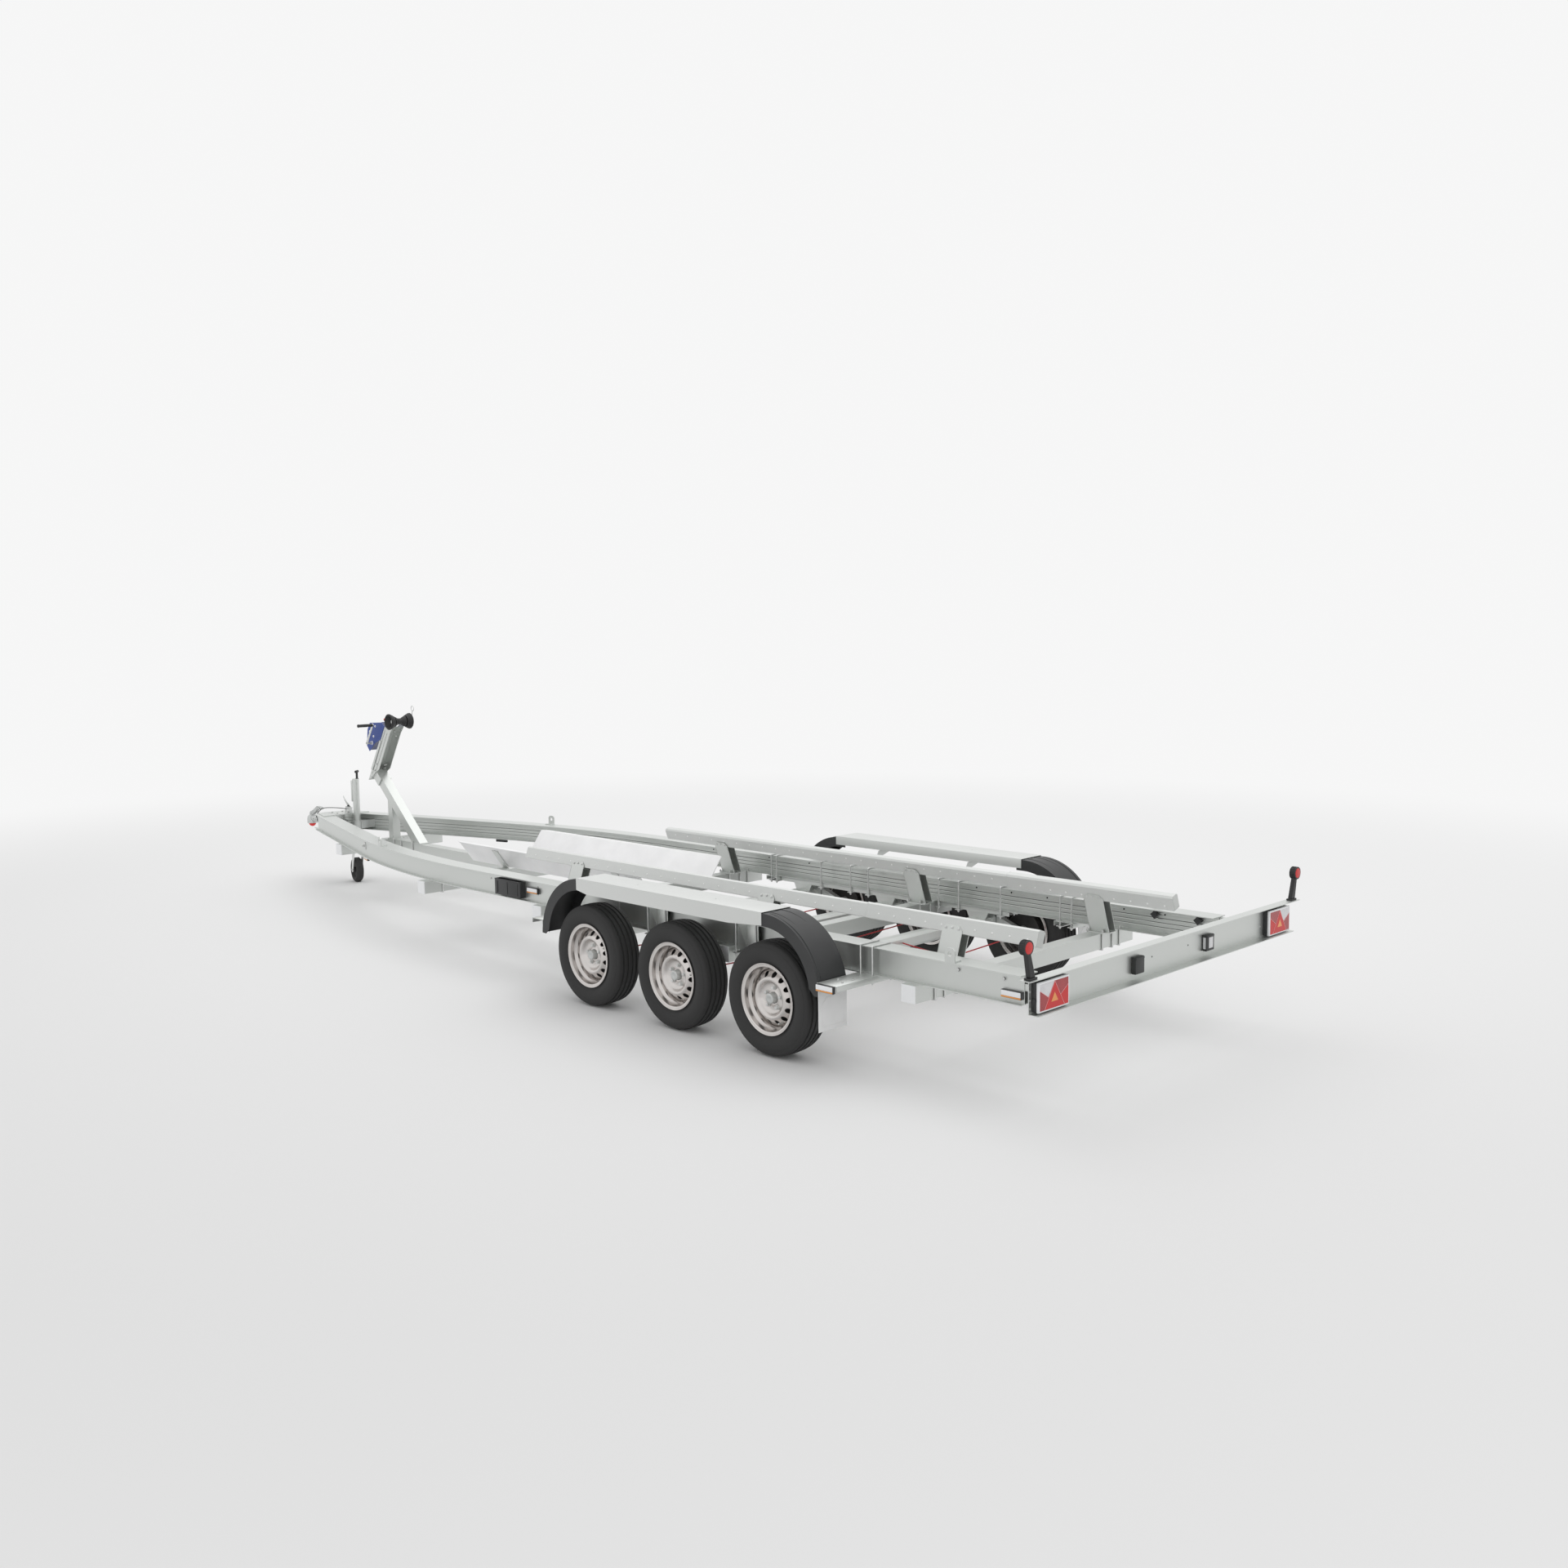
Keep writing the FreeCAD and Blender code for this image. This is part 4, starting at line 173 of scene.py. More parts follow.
ZINC_SHEET = {"relief": Relief.SPANGLE, "relief_depth": 0.0001, "relief_strength": 0.04, "stretch": (0.25, 1, 1)}
LENS = {"roughness": 0.25, "roughness_spread": 0.06, "grain_per_metre": 260, "relief": Relief.PRISMS,
        "relief_depth": 0.0006, "relief_strength": 0.3, "coat": 0.4}
GALVANISED = Finish("galvanised_steel", (0.66, 0.675, 0.66), (0.56, 0.575, 0.56), 0.5, 0.42, 0.04, 0.9, 70,
                    **ZINC_SHEET)
GALVANISED_SHEET = Finish("galvanised_sheet", (0.72, 0.735, 0.72), (0.65, 0.665, 0.65), 0.4, 0.42, 0.04, 0.9, 60,
                          **ZINC_SHEET)
BRIGHT_SHEET = Finish("bright_zinc_sheet", (0.93, 0.93, 0.935), (0.86, 0.86, 0.865), 0.35, 0.36, 0.06, 5, 110,
                      Relief.SPANGLE, 0.0002, 0.12)
ZINC_BOLT = Finish("zinc_plated_hardware", (0.74, 0.75, 0.74), (0.62, 0.63, 0.62), 0.75, 0.32, 0.08, 30,
                   relief_depth=0.0002)
RIVET_WHITE = Finish("bright_rivet", (0.95, 0.95, 0.95), (0.88, 0.88, 0.88), 0.1, 0.35, 0.05, 40, 600,
                     relief_depth=0.0001)
RIM_SILVER = Finish("silver_rim_paint", (0.7, 0.67, 0.65), (0.62, 0.59, 0.57), 0.9, 0.24, 0.04, 8,
                    relief_depth=0.0001, relief_strength=0.06, coat=0.3)
CAST_ZINC = Finish("cast_zinc", (0.66, 0.675, 0.665), (0.52, 0.535, 0.525), 0.7, 0.4, 0.1, 12, 240,
                   relief_strength=0.35)
DRUM_IRON = Finish("brake_drum_iron", (0.055, 0.054, 0.052), (0.035, 0.034, 0.033), 0.3, 0.55, 0.1, 10, 260,
                   relief_strength=0.3)
TYRE_RUBBER = Finish("tyre_rubber", (0.03, 0.03, 0.03), (0.022, 0.022, 0.022), 0, 0.62, 0.07, 6, 420,
                     relief_depth=0.0003, relief_strength=0.25, specular=0.4)
SOFT_RUBBER = Finish("soft_rubber", (0.022, 0.022, 0.023), (0.014, 0.014, 0.015), 0, 0.5, 0.07, 9)
BLACK_PLASTIC = Finish("moulded_black_plastic", (0.03, 0.031, 0.032), (0.022, 0.023, 0.024), 0, 0.42, 0.05, 5, 700,
                       relief_depth=0.0002, relief_strength=0.15)
WHITE_PLASTIC = Finish("white_plastic", (0.86, 0.86, 0.86), (0.8, 0.8, 0.8), 0, 0.45, 0.05, 5, relief_depth=0.0001)
FLAP_SHEET = Finish("flap_sheet", (0.8, 0.8, 0.8), (0.74, 0.74, 0.74), 0, 0.5, 0.05, 6, 150, relief_strength=0.15)
BLUE_PAINT = Finish("blue_paint", (0.045, 0.075, 0.26), (0.03, 0.055, 0.2), 0, 0.3, 0.05, 14, 350, coat=0.4)
BLUE_DEEP = Finish("deep_blue_paint", (0.022, 0.04, 0.16), (0.015, 0.028, 0.12), 0, 0.34, 0.05, 14, 350, coat=0.3)
ORANGE_PLASTIC = Finish("orange_plastic", (0.75, 0.075, 0.02), (0.62, 0.055, 0.015), 0, 0.38)
MARKER_ORANGE = Finish("marker_orange", (0.85, 0.36, 0.08), (0.76, 0.3, 0.06), 0, 0.3, 0.05, 20, 400, coat=0.3)
RED_PLASTIC = Finish("red_plastic", (0.76, 0.03, 0.035), (0.62, 0.022, 0.026), 0, 0.3, coat=0.3)
CABLE_RED = Finish("red_cable_sheath", (0.42, 0.012, 0.016), (0.32, 0.008, 0.01), 0, 0.42, 0.06, 20, 700)
RED_LENS = Finish("red_lens", (0.6, 0.035, 0.038), (0.5, 0.028, 0.03), **LENS)
RED_LENS_DEEP = Finish("deep_red_lens", (0.4, 0.028, 0.032), (0.33, 0.022, 0.026), **LENS)
LINE_WHITE = Finish("lens_division", (0.85, 0.42, 0.42), (0.78, 0.36, 0.36), 0, 0.35, 0.05, 20, 400)
AMBER_LENS = Finish("amber_lens", (0.85, 0.33, 0.08), (0.78, 0.28, 0.06), **LENS)
CLEAR_LENS = Finish("clear_lens", (0.72, 0.72, 0.735), (0.64, 0.64, 0.655), 0.1, drift_per_metre=30, **LENS)
SEAM_SHADE = Finish("fold_shadow", (0.12, 0.125, 0.12), (0.08, 0.084, 0.08), 0.3, 0.6, 0.05, 8, 300)
# Painted shade: a near-black finish for discs and rings put where holes and vents show only shade.
HOLE_SHADE = Finish("painted_hole_shade", (0.012, 0.012, 0.012), (0.008, 0.008, 0.008), 0, 0.8, 0.05, 8, 300)

NODE_FINISHES: dict[Finish, str] = {
    GALVANISED: "main_beam_left main_beam_right cross_tubes spine_tube axle_rails axle_tubes mudguard_stays bunk_posts "
                "winch_post winch_bracket guide_brackets light_bar light_bar_arms tie_down_eyes jockey_tube "
                "overrun_housing",
    GALVANISED_SHEET: "mudguard_plates bunks_rear bunks_front",
    BRIGHT_SHEET: "guide_plates",
    ZINC_BOLT: "beam_clamps roller_pin winch_crank handbrake_lever jockey_leg",
    CAST_ZINC: "trailing_arms coupling_head coupling_handle jockey_clamp",
    DRUM_IRON: "brake_backplates",
    SOFT_RUBBER: "bow_roller gaiter",
    BLACK_PLASTIC: "mudguard_quarters chock_holder jockey_knob star_knobs side_markers tail_lamps bar_lamps hand_grips",
    TYRE_RUBBER: "jockey_wheel",
    WHITE_PLASTIC: "cross_tube_caps",
    FLAP_SHEET: "mud_flaps",
    BLUE_PAINT: "winch_housing",
    ORANGE_PLASTIC: "ratchet_knob",
    RED_PLASTIC: "soft_ball",
    RED_LENS: "tail_lenses",
}


class Bench:
    """The modelling bench in metres: primitives, edit-mode operators and applied modifiers."""

    @staticmethod
    def clear() -> None:
        """Leaves edit mode and deselects everything."""
        if bpy.context.mode != "OBJECT":
            bpy.ops.object.mode_set(mode="OBJECT")
        bpy.ops.object.select_all(action="DESELECT")

    @staticmethod
    def pick(*pieces: Piece) -> None:
        """Selects these pieces alone, the first of them active."""
        Bench.clear()
        for piece in pieces:
            piece.select_set(True)
        bpy.context.view_layer.objects.active = pieces[0]

    @staticmethod
    @contextmanager
    def editing(piece: Piece) -> Iterator[None]:
        """Edit mode on a piece, with all of it selected."""
        Bench.pick(piece)
        bpy.ops.object.mode_set(mode="EDIT")
        bpy.ops.mesh.select_all(action="SELECT")
        yield
        bpy.ops.object.mode_set(mode="OBJECT")

    @staticmethod
    def named(name: str) -> Piece:
        """Names the active object and puts its place into its mesh."""
        piece = bpy.context.active_object
        piece.name = piece.data.name = name
        bpy.ops.object.transform_apply(location=True, rotation=True, scale=True)
        return piece

    @staticmethod
    def modify(piece: Piece, kind: str, **settings: object) -> Piece:
        """Adds a modifier, sets it and applies it."""
        Bench.pick(piece)
        modifier = piece.modifiers.new(kind.lower(), kind)
        for attribute, value in settings.items():
            setattr(modifier, attribute, value)
        bpy.ops.object.modifier_apply(modifier=modifier.name)
        return piece

    @staticmethod
    def tidy(piece: Piece, smooth_degrees: float = SOFT) -> Piece:
        """Merges doubles, turns the faces outwards and smooths the gentle edges."""
        with Bench.editing(piece):
            bpy.ops.mesh.remove_doubles(threshold=MERGE)
            bpy.ops.mesh.normals_make_consistent(inside=False)
        bpy.ops.object.shade_smooth_by_angle(angle=math.radians(smooth_degrees))
        return piece

    @staticmethod
    def eased(piece: Piece, bevel: float, **settings: object) -> Piece:
        """Rounds a piece's edges, where asked, and tidies it."""
        if bevel:
            Bench.modify(piece, "BEVEL", width=bevel, segments=2, **settings)
        return Bench.tidy(piece, CRISP)

    @staticmethod
    def extrude(step: Vector) -> None:
        """Draws the selection out by a step."""
        bpy.ops.mesh.extrude_region_move(TRANSFORM_OT_translate={"value": step})

    @staticmethod
    def rod(name: str, start: Vector, end: Vector, radius: float, sides: int = 24, bevel: float = 0) -> Piece:
        """A round or many-sided rod between two points, its end edges rounded."""
        Bench.clear()
        run = end - start
        turn = run.to_track_quat("Z", "Y").to_euler()
        bpy.ops.mesh.primitive_cylinder_add(vertices=sides, radius=radius, depth=run.length,
                                            location=(start + end) / 2, rotation=turn)
        return Bench.eased(Bench.named(name), bevel, angle_limit=math.radians(70))

    @staticmethod
    def line(name: str, points: Sequence[Vector], filled: bool = False) -> Piece:
        """A chain of edges through the points, or the face that they bound."""
        Bench.clear()
        bpy.ops.mesh.primitive_plane_add(size=0.01, location=points[0])
        with Bench.editing(bpy.context.active_object):
            bpy.ops.mesh.select_mode(type="VERT")
            bpy.ops.mesh.merge(type="CENTER")
            for before, after in zip(points, points[1:]):
                Bench.extrude(after - before)
            if filled:
                bpy.ops.mesh.select_all(action="SELECT")
                bpy.ops.mesh.edge_face_add()
        return Bench.named(name)

    @staticmethod
    def lathe(name: str, outline: Sequence[Pair], steps: int = 48, smooth_degrees: float = SOFT, axis: Vector = Y_AXIS,
              centre: Vector = Vector(), start: Optional[Vector] = None, sweep: float = 2 * math.pi) -> Piece:
        """A turned shape.

        Args:
            name: The piece's name.
            outline: Its section as (along the axis, radius) pairs, from end to end or back to its start.
            steps: How many steps the turn has.
            smooth_degrees: Edges below this angle are smooth.
            axis: The axis that it turns about.
            centre: A point of the axis, from which the outline is measured.
            start: The direction in which the radius is drawn first.
            sweep: The angle that it turns.

        Returns:
            The turned piece.
        """
        out = start or axis.orthogonal().normalized()
        piece = Bench.line(name, [centre + axis * along + out * radius for along, radius in outline])
        with Bench.editing(piece):
            bpy.ops.mesh.spin(steps=steps, angle=sweep, center=centre, axis=axis)
        return Bench.tidy(piece, smooth_degrees)

    @staticmethod
    def join(name: str, pieces: Sequence[Piece]) -> Piece:
        """Joins pieces into the first of them."""
        Bench.pick(*pieces)
        if len(pieces) > 1:
            bpy.ops.object.join()
        return Bench.named(name)

    @staticmethod
    def twin(piece: Piece, place: Matrix, name: str) -> Piece:
        """A copy of a piece, with its own mesh, moved to a place."""
        mesh = piece.data.copy()
        mesh.transform(place)
        if place.determinant() < 0:
            mesh.flip_normals()
        copy = bpy.data.objects.new(name, mesh)
        bpy.context.scene.collection.objects.link(copy)
        return copy

    @staticmethod
    def array(name: str, model: Piece, places: Iterable[Matrix]) -> Piece:
        """Copies of a model at each place, joined as one piece. The model goes."""
        copies = [Bench.twin(model, place, name) for place in places]
        bpy.data.objects.remove(model)
        return Bench.join(name, copies)

    @staticmethod
    def ring(name: str, model: Piece, count: int, axis: str, first: float = 0) -> Piece:
        """Copies of a model, turned about an axis through the origin by even steps from the first."""
        return Bench.array(name, model,
                           [Matrix.Rotation(2 * math.pi * (index + first) / count, 4, axis) for index in range(count)])


def dress(piece: Piece, finish: Finish) -> Piece:
    """Gives a piece one finish all over."""
    piece.data.materials.clear()
    piece.data.materials.append(finish.material())
    return piece


def mount(piece: Piece, finish: Optional[Finish], *nodes: str, body: str = "trailer") -> None:
    """Dresses a piece, sets it on its body and lets it stand for CAD nodes."""
    if finish:
        dress(piece, finish)
    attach(piece, body)
    if nodes:
        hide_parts(*nodes)
    LOG.info("%s rides on %s, %d faces", piece.name, body, len(piece.data.polygons))


def centre_of(node: str) -> Vector:
    """Middle of a CAD node's box."""
    low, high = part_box(node)
    return (low + high) / 2


AXLE = centre_of("tyre_rear_left")


@dataclass
class Studio:
    """The camera at the photograph's angle, a white floor and soft light."""

    camera_from_axle: Triple = (-5.4049, 6.4266, 2.2675)
    heading: float = -0.781
    pitch: float = -0.107
    roll: float = -0.0147
    focal_share: float = 1771.96 / 1920
    sensor: float = 36
    floor_radius: float = 120
    floor_white: float = 0.82
    backdrop: Triple = (0.925, 0.925, 0.925)
    fade: Pair = (5.5, 13)
    world_light: float = 0.83
    lamp_place: Triple = (1, -3, 9)
    lamp_size: Pair = (14, 9)
    lamp_tilt: float = -16
    lamp_watts: float = 330

    def build(self) -> None:
        """Makes the camera, the floor, the world and the lamp."""
        self.camera()
        self.floor()
        self.world()
        self.lamp()
        bpy.context.scene.view_settings.view_transform = "Standard"

    def camera(self) -> None:
        """The camera, as it stood for the photograph."""
        Bench.clear()
        ahead = Vector((math.cos(self.heading) * math.cos(self.pitch),
                        math.sin(self.heading) * math.cos(self.pitch), math.sin(self.pitch)))
        level = Vector((math.sin(self.heading), -math.cos(self.heading), 0))
        above = level.cross(ahead)
        right = math.cos(self.roll) * level + math.sin(self.roll) * above
        up = math.cos(self.roll) * above - math.sin(self.roll) * level
        x, y, z = self.camera_from_axle
        bpy.ops.object.camera_add(location=(AXLE.x + x, y, z))
        camera = bpy.context.active_object
        camera.name = "camera"
        camera.rotation_euler = Matrix((right, up, -ahead)).transposed().to_euler()
        camera.data.sensor_width = self.sensor
        camera.data.lens = self.focal_share * self.sensor
        camera.data.clip_end = 500
        bpy.context.scene.camera = camera

    def floor(self) -> None:
        """The white floor, which keeps the trailer's shadow and fades into the backdrop far away."""
        Bench.clear()
        bpy.ops.mesh.primitive_circle_add(vertices=96, radius=self.floor_radius, fill_type="NGON")
        floor = Bench.named("floor")
        material = bpy.data.materials.new("studio_floor")
        material.use_nodes = True
        nodes = NodeTree(material.node_tree)
        matt = nodes.add("BsdfDiffuse", {"Color": (*(self.floor_white,) * 3, 1), "Roughness": 0})
        place = nodes.add("TexCoord").outputs["Object"]
        far = nodes.add("VectorMath", {0: place}, operation="LENGTH").outputs["Value"]
        fade = nodes.add("MapRange", {"Value": far, "From Min": self.fade[0], "From Max": self.fade[1]},
                         interpolation_type="SMOOTHSTEP")
        share = nodes.add("Math", {0: fade.outputs["Result"], 1: nodes.directly_seen()}, operation="MULTIPLY",
                          use_clamp=True)
        pale = nodes.add("Emission", {"Color": (*self.backdrop, 1), "Strength": 1})
        mixed = nodes.add("MixShader", {0: share.outputs["Value"], 1: matt.outputs["BSDF"],
                                        2: pale.outputs["Emission"]})
        nodes.add("OutputMaterial", {"Surface": mixed.outputs["Shader"]})
        floor.data.materials.append(material)

    def world(self) -> None:
        """Even white light from all round, and the pale backdrop that the camera and glossy metal see."""
        world = bpy.data.worlds.new("studio")
        bpy.context.scene.world = world
        world.use_nodes = True
        nodes = NodeTree(world.node_tree)
        light = nodes.add("Background", {"Color": (1, 1, 1, 1), "Strength": self.world_light})
        shown = nodes.add("Background", {"Color": (*self.backdrop, 1), "Strength": 1})
        mixed = nodes.add("MixShader", {0: nodes.directly_seen(), 1: light.outputs["Background"],
                                        2: shown.outputs["Background"]})
        nodes.add("OutputWorld", {"Surface": mixed.outputs["Shader"]})

    def lamp(self) -> None:
        """A broad soft lamp overhead, behind and to the right of the trailer."""
        Bench.clear()
        bpy.ops.object.light_add(type="AREA", location=self.lamp_place)
        lamp = bpy.context.active_object
        lamp.name = "overhead_lamp"
        lamp.rotation_euler = (math.radians(self.lamp_tilt), 0, 0)
        lamp.data.shape = "RECTANGLE"
        lamp.data.size, lamp.data.size_y = self.lamp_size
        lamp.data.energy = self.lamp_watts


@dataclass
class RoadWheels:
    """Six tyres with their tread, and pressed steel rims with bolts, cap and valve."""

    radius: float = 0.3143
    tread_half: float = 0.0722
    groove_depth: float = 0.0075
    groove_half: float = 0.0042
    grooves: tuple[float, ...] = (-0.048, -0.0165, 0.0165, 0.048)
    tyre_steps: int = 120
    rim_steps: int = 84
    smooth: float = 38
    vents: int = 14
    vent_radius: float = 0.0148
    vent_circle: float = 0.1315
    bolt_circle: float = 0.056
    bolts: int = 5
    valve_circle: float = 0.1415
    valve_turns: tuple[tuple[str, float], ...] = (("rear", -150), ("middle", -80), ("front", -65))

    def build(self) -> None:
        """Models one tyre, one rim and one drum, and sets copies on the six hubs."""
        models = ((self.tyre(), "treaded_tyre_", "tyre_"), (self.rim(), "pressed_rim_", "wheel_rim_"),
                  (self.drum(), "brake_drum_", None))
        for place, degrees in self.valve_turns:
            for side, turn in (("left", 0), ("right", math.pi)):
                tail = f"{place}_{side}"
                where = Matrix.Translation(centre_of("tyre_" + tail)) @ Matrix.Rotation(turn, 4, "Z") \
                    @ Matrix.Rotation(math.radians(degrees), 4, "Y")
                for model, name, node in models:
                    mount(Bench.twin(model, where, name + tail), None, *([node + tail] if node else []),
                          body="wheel_" + tail)
        for model, _, _ in models:
            bpy.data.objects.remove(model)

    def tyre_outline(self) -> list[Pair]:
        """The tyre's section as (offset, radius), from bead to bead round the tread and back inside."""
        wall = [(0.07, 0.1783), (0.0765, 0.1785), (0.0772, 0.1965), (0.08, 0.201), (0.0812, 0.2055),
                (0.0835, 0.2085), (0.088, 0.216), (0.093, 0.228), (0.0962, 0.241), (0.0972, 0.252),
                (0.0965, 0.263), (0.0945, 0.273), (0.0925, 0.279), (0.093, 0.2805), (0.0915, 0.284),
                (0.0905, 0.2845), (0.087, 0.293), (0.083, 0.3), (0.0785, 0.305), (self.tread_half, 0.3084)]
        crown = []
        for groove in reversed(self.grooves):
            top = self.crown_radius(groove)
            crown += [(groove + self.groove_half, top), (groove + self.groove_half * 0.6, top - self.groove_depth),
                      (groove - self.groove_half * 0.6, top - self.groove_depth), (groove - self.groove_half, top)]
            if groove > min(self.grooves):
                between = groove - (self.grooves[2] - self.grooves[1]) / 2
                crown.append((between, self.crown_radius(between)))
        return wall + crown + [(-offset, radius) for offset, radius in reversed(wall)] + [wall[0]]

    def crown_radius(self, offset: float) -> float:
        """Radius of the tread at an offset from its middle."""
        return self.radius - 0.0059 * (offset / self.tread_half) ** 2

    def tyre(self) -> Piece:
        """One tyre round the origin, its axis along Y, with slots cut in its shoulders."""
        tyre = Bench.lathe("tyre_model", self.tyre_outline(), self.tyre_steps, 30)
        Bench.pick(tyre)
        outer_groove = max(self.grooves) + self.groove_half
        for polygon in tyre.data.polygons:
            at = polygon.center
            angle = math.atan2(at.x, at.z) / (2 * math.pi) * self.tyre_steps
            shoulder = outer_groove < abs(at.y) < 0.0835 and math.hypot(at.x, at.z) > 0.302
            polygon.select = shoulder and round(angle - 0.5) % 3 == 0
        bpy.ops.object.mode_set(mode="EDIT")
        bpy.ops.mesh.select_mode(type="FACE")
        bpy.ops.mesh.inset(thickness=0.0058, depth=-0.0035)
        bpy.ops.object.mode_set(mode="OBJECT")
        bpy.ops.object.shade_smooth_by_angle(angle=math.radians(30))
        return dress(tyre, TYRE_RUBBER)

    def barrel(self) -> Piece:
        """The rim's barrel: rolled lips, bead seats and well."""
        seat = [(0.0815, 0.188), (0.084, 0.1905), (0.085, 0.1932), (0.0843, 0.1951), (0.0825, 0.1957),
                (0.08, 0.1942), (0.0785, 0.19), (0.078, 0.1798), (0.0765, 0.1779), (0.052, 0.1758),
                (0.039, 0.164), (0.034, 0.1602), (0.026, 0.16)]
        well = [(-0.014, 0.16), (-0.022, 0.161), (-0.036, 0.1752), (-0.0765, 0.1779), (-0.078, 0.1798),
                (-0.0785, 0.19), (-0.08, 0.1942), (-0.0825, 0.1957), (-0.0845, 0.1945), (-0.084, 0.1905)]
        inside = [(-0.0812, 0.187), (-0.0806, 0.1765), (-0.078, 0.1742), (-0.039, 0.1718), (-0.024, 0.1575),
                  (-0.017, 0.1562), (0.029, 0.1562), (0.037, 0.1575), (0.042, 0.161), (0.053, 0.1708),
                  (0.058, 0.1722), (0.074, 0.1738), (0.079, 0.1752), (0.0806, 0.1785), (0.0815, 0.188)]
        return Bench.lathe("barrel", seat + well + inside, self.rim_steps, self.smooth)

    def disc(self) -> Piece:
        """The dished disc with its raised ring and vent holes."""
        front = [(0.03, 0.0296), (0.033, 0.031), (0.0335, 0.038), (0.03, 0.043), (0.03, 0.066),
                 (0.0318, 0.074), (0.037, 0.082), (0.046, 0.088), (0.0545, 0.0925), (0.0595, 0.0975),
                 (0.062, 0.1035), (0.0615, 0.1095), (0.0585, 0.115), (0.052, 0.1215), (0.04, 0.134),
                 (0.027, 0.147), (0.019, 0.1535), (0.013, 0.1561)]
        back = [(offset - 0.0042, radius - 0.0012) for offset, radius in reversed(front[5:])]
        back += [(0.026, 0.066), (0.026, 0.0296), (0.03, 0.0296)]
        disc = Bench.lathe("disc", front + back, self.rim_steps, self.smooth)
        drill = Bench.rod("drill", Vector((0, -0.02, self.vent_circle)), Vector((0, 0.12, self.vent_circle)),
                          self.vent_radius, 20)
        drills = Bench.ring("drills", drill, self.vents, "Y", 0.5)
        Bench.modify(disc, "BOOLEAN", operation="DIFFERENCE", object=drills, solver="EXACT")
        bpy.data.objects.remove(drills)
        Bench.pick(disc)
        bpy.ops.object.shade_smooth_by_angle(angle=math.radians(self.smooth))
        return disc

    def rim(self) -> Piece:
        """One painted rim with its bolts, hub cap and valve."""
        painted = dress(Bench.join("painted", [self.barrel(), self.disc()]), RIM_SILVER)
        bolts = dress(Bench.ring("bolts", self.wheel_bolt(), self.bolts, "Y"), ZINC_BOLT)
        cap = dress(Bench.lathe("cap", [(0.024, 0.029), (0.0575, 0.029), (0.062, 0.0272), (0.064, 0.0235),
                                        (0.0642, 0.015), (0.0632, 0.013), (0.0634, 0)]), CAST_ZINC)
        valve = dress(Bench.lathe("valve", [(0.02, 0.005), (0.04, 0.005), (0.042, 0.004), (0.054, 0.004),
                                            (0.0545, 0.0046), (0.066, 0.0046), (0.067, 0.0036), (0.067, 0)], 16),
                      ZINC_BOLT)
        valve.data.transform(Matrix.Translation((0, 0, self.valve_circle)))
        return Bench.join("rim_model", [painted, bolts, cap, valve])

    def wheel_bolt(self) -> Piece:
        """One wheel bolt: a round seat under a chamfered hexagon."""
        foot, middle, top = (Vector((0, y, self.bolt_circle)) for y in (0.03, 0.0335, 0.046))
        return Bench.join("bolt", [Bench.rod("seat", foot, middle, 0.0125, 24, 0.0008),
                                   Bench.rod("head", middle, top, 0.0098, HEX, 0.0016)])

    def drum(self) -> Piece:
        """The brake drum behind the rim, with its cooling ribs and a black ring of painted shade behind the rim's
        vents.
        """
        outline = [(-0.062, 0.119), (-0.062, 0.125), (-0.056, 0.125), (-0.056, 0.1225), (-0.05, 0.1225),
                   (-0.05, 0.125), (-0.045, 0.125), (-0.045, 0.1225), (-0.04, 0.1225), (-0.04, 0.125),
                   (-0.004, 0.125), (0, 0.121), (0, 0.063), (0.0257, 0.062), (0.0257, 0.03),
                   (-0.008, 0.03), (-0.008, 0.119), (-0.062, 0.119)]
        drum = dress(Bench.lathe("drum_model", outline, 60), DRUM_IRON)
        # The ring is painted shade: it makes the rim's vents show dark.
        flange = [(0, 0.12), (0, 0.15), (0.004, 0.15), (0.004, 0.12), (0, 0.12)]
        return Bench.join("drum_model", [drum, dress(Bench.lathe("drum_shade", flange, 60), HOLE_SHADE)])


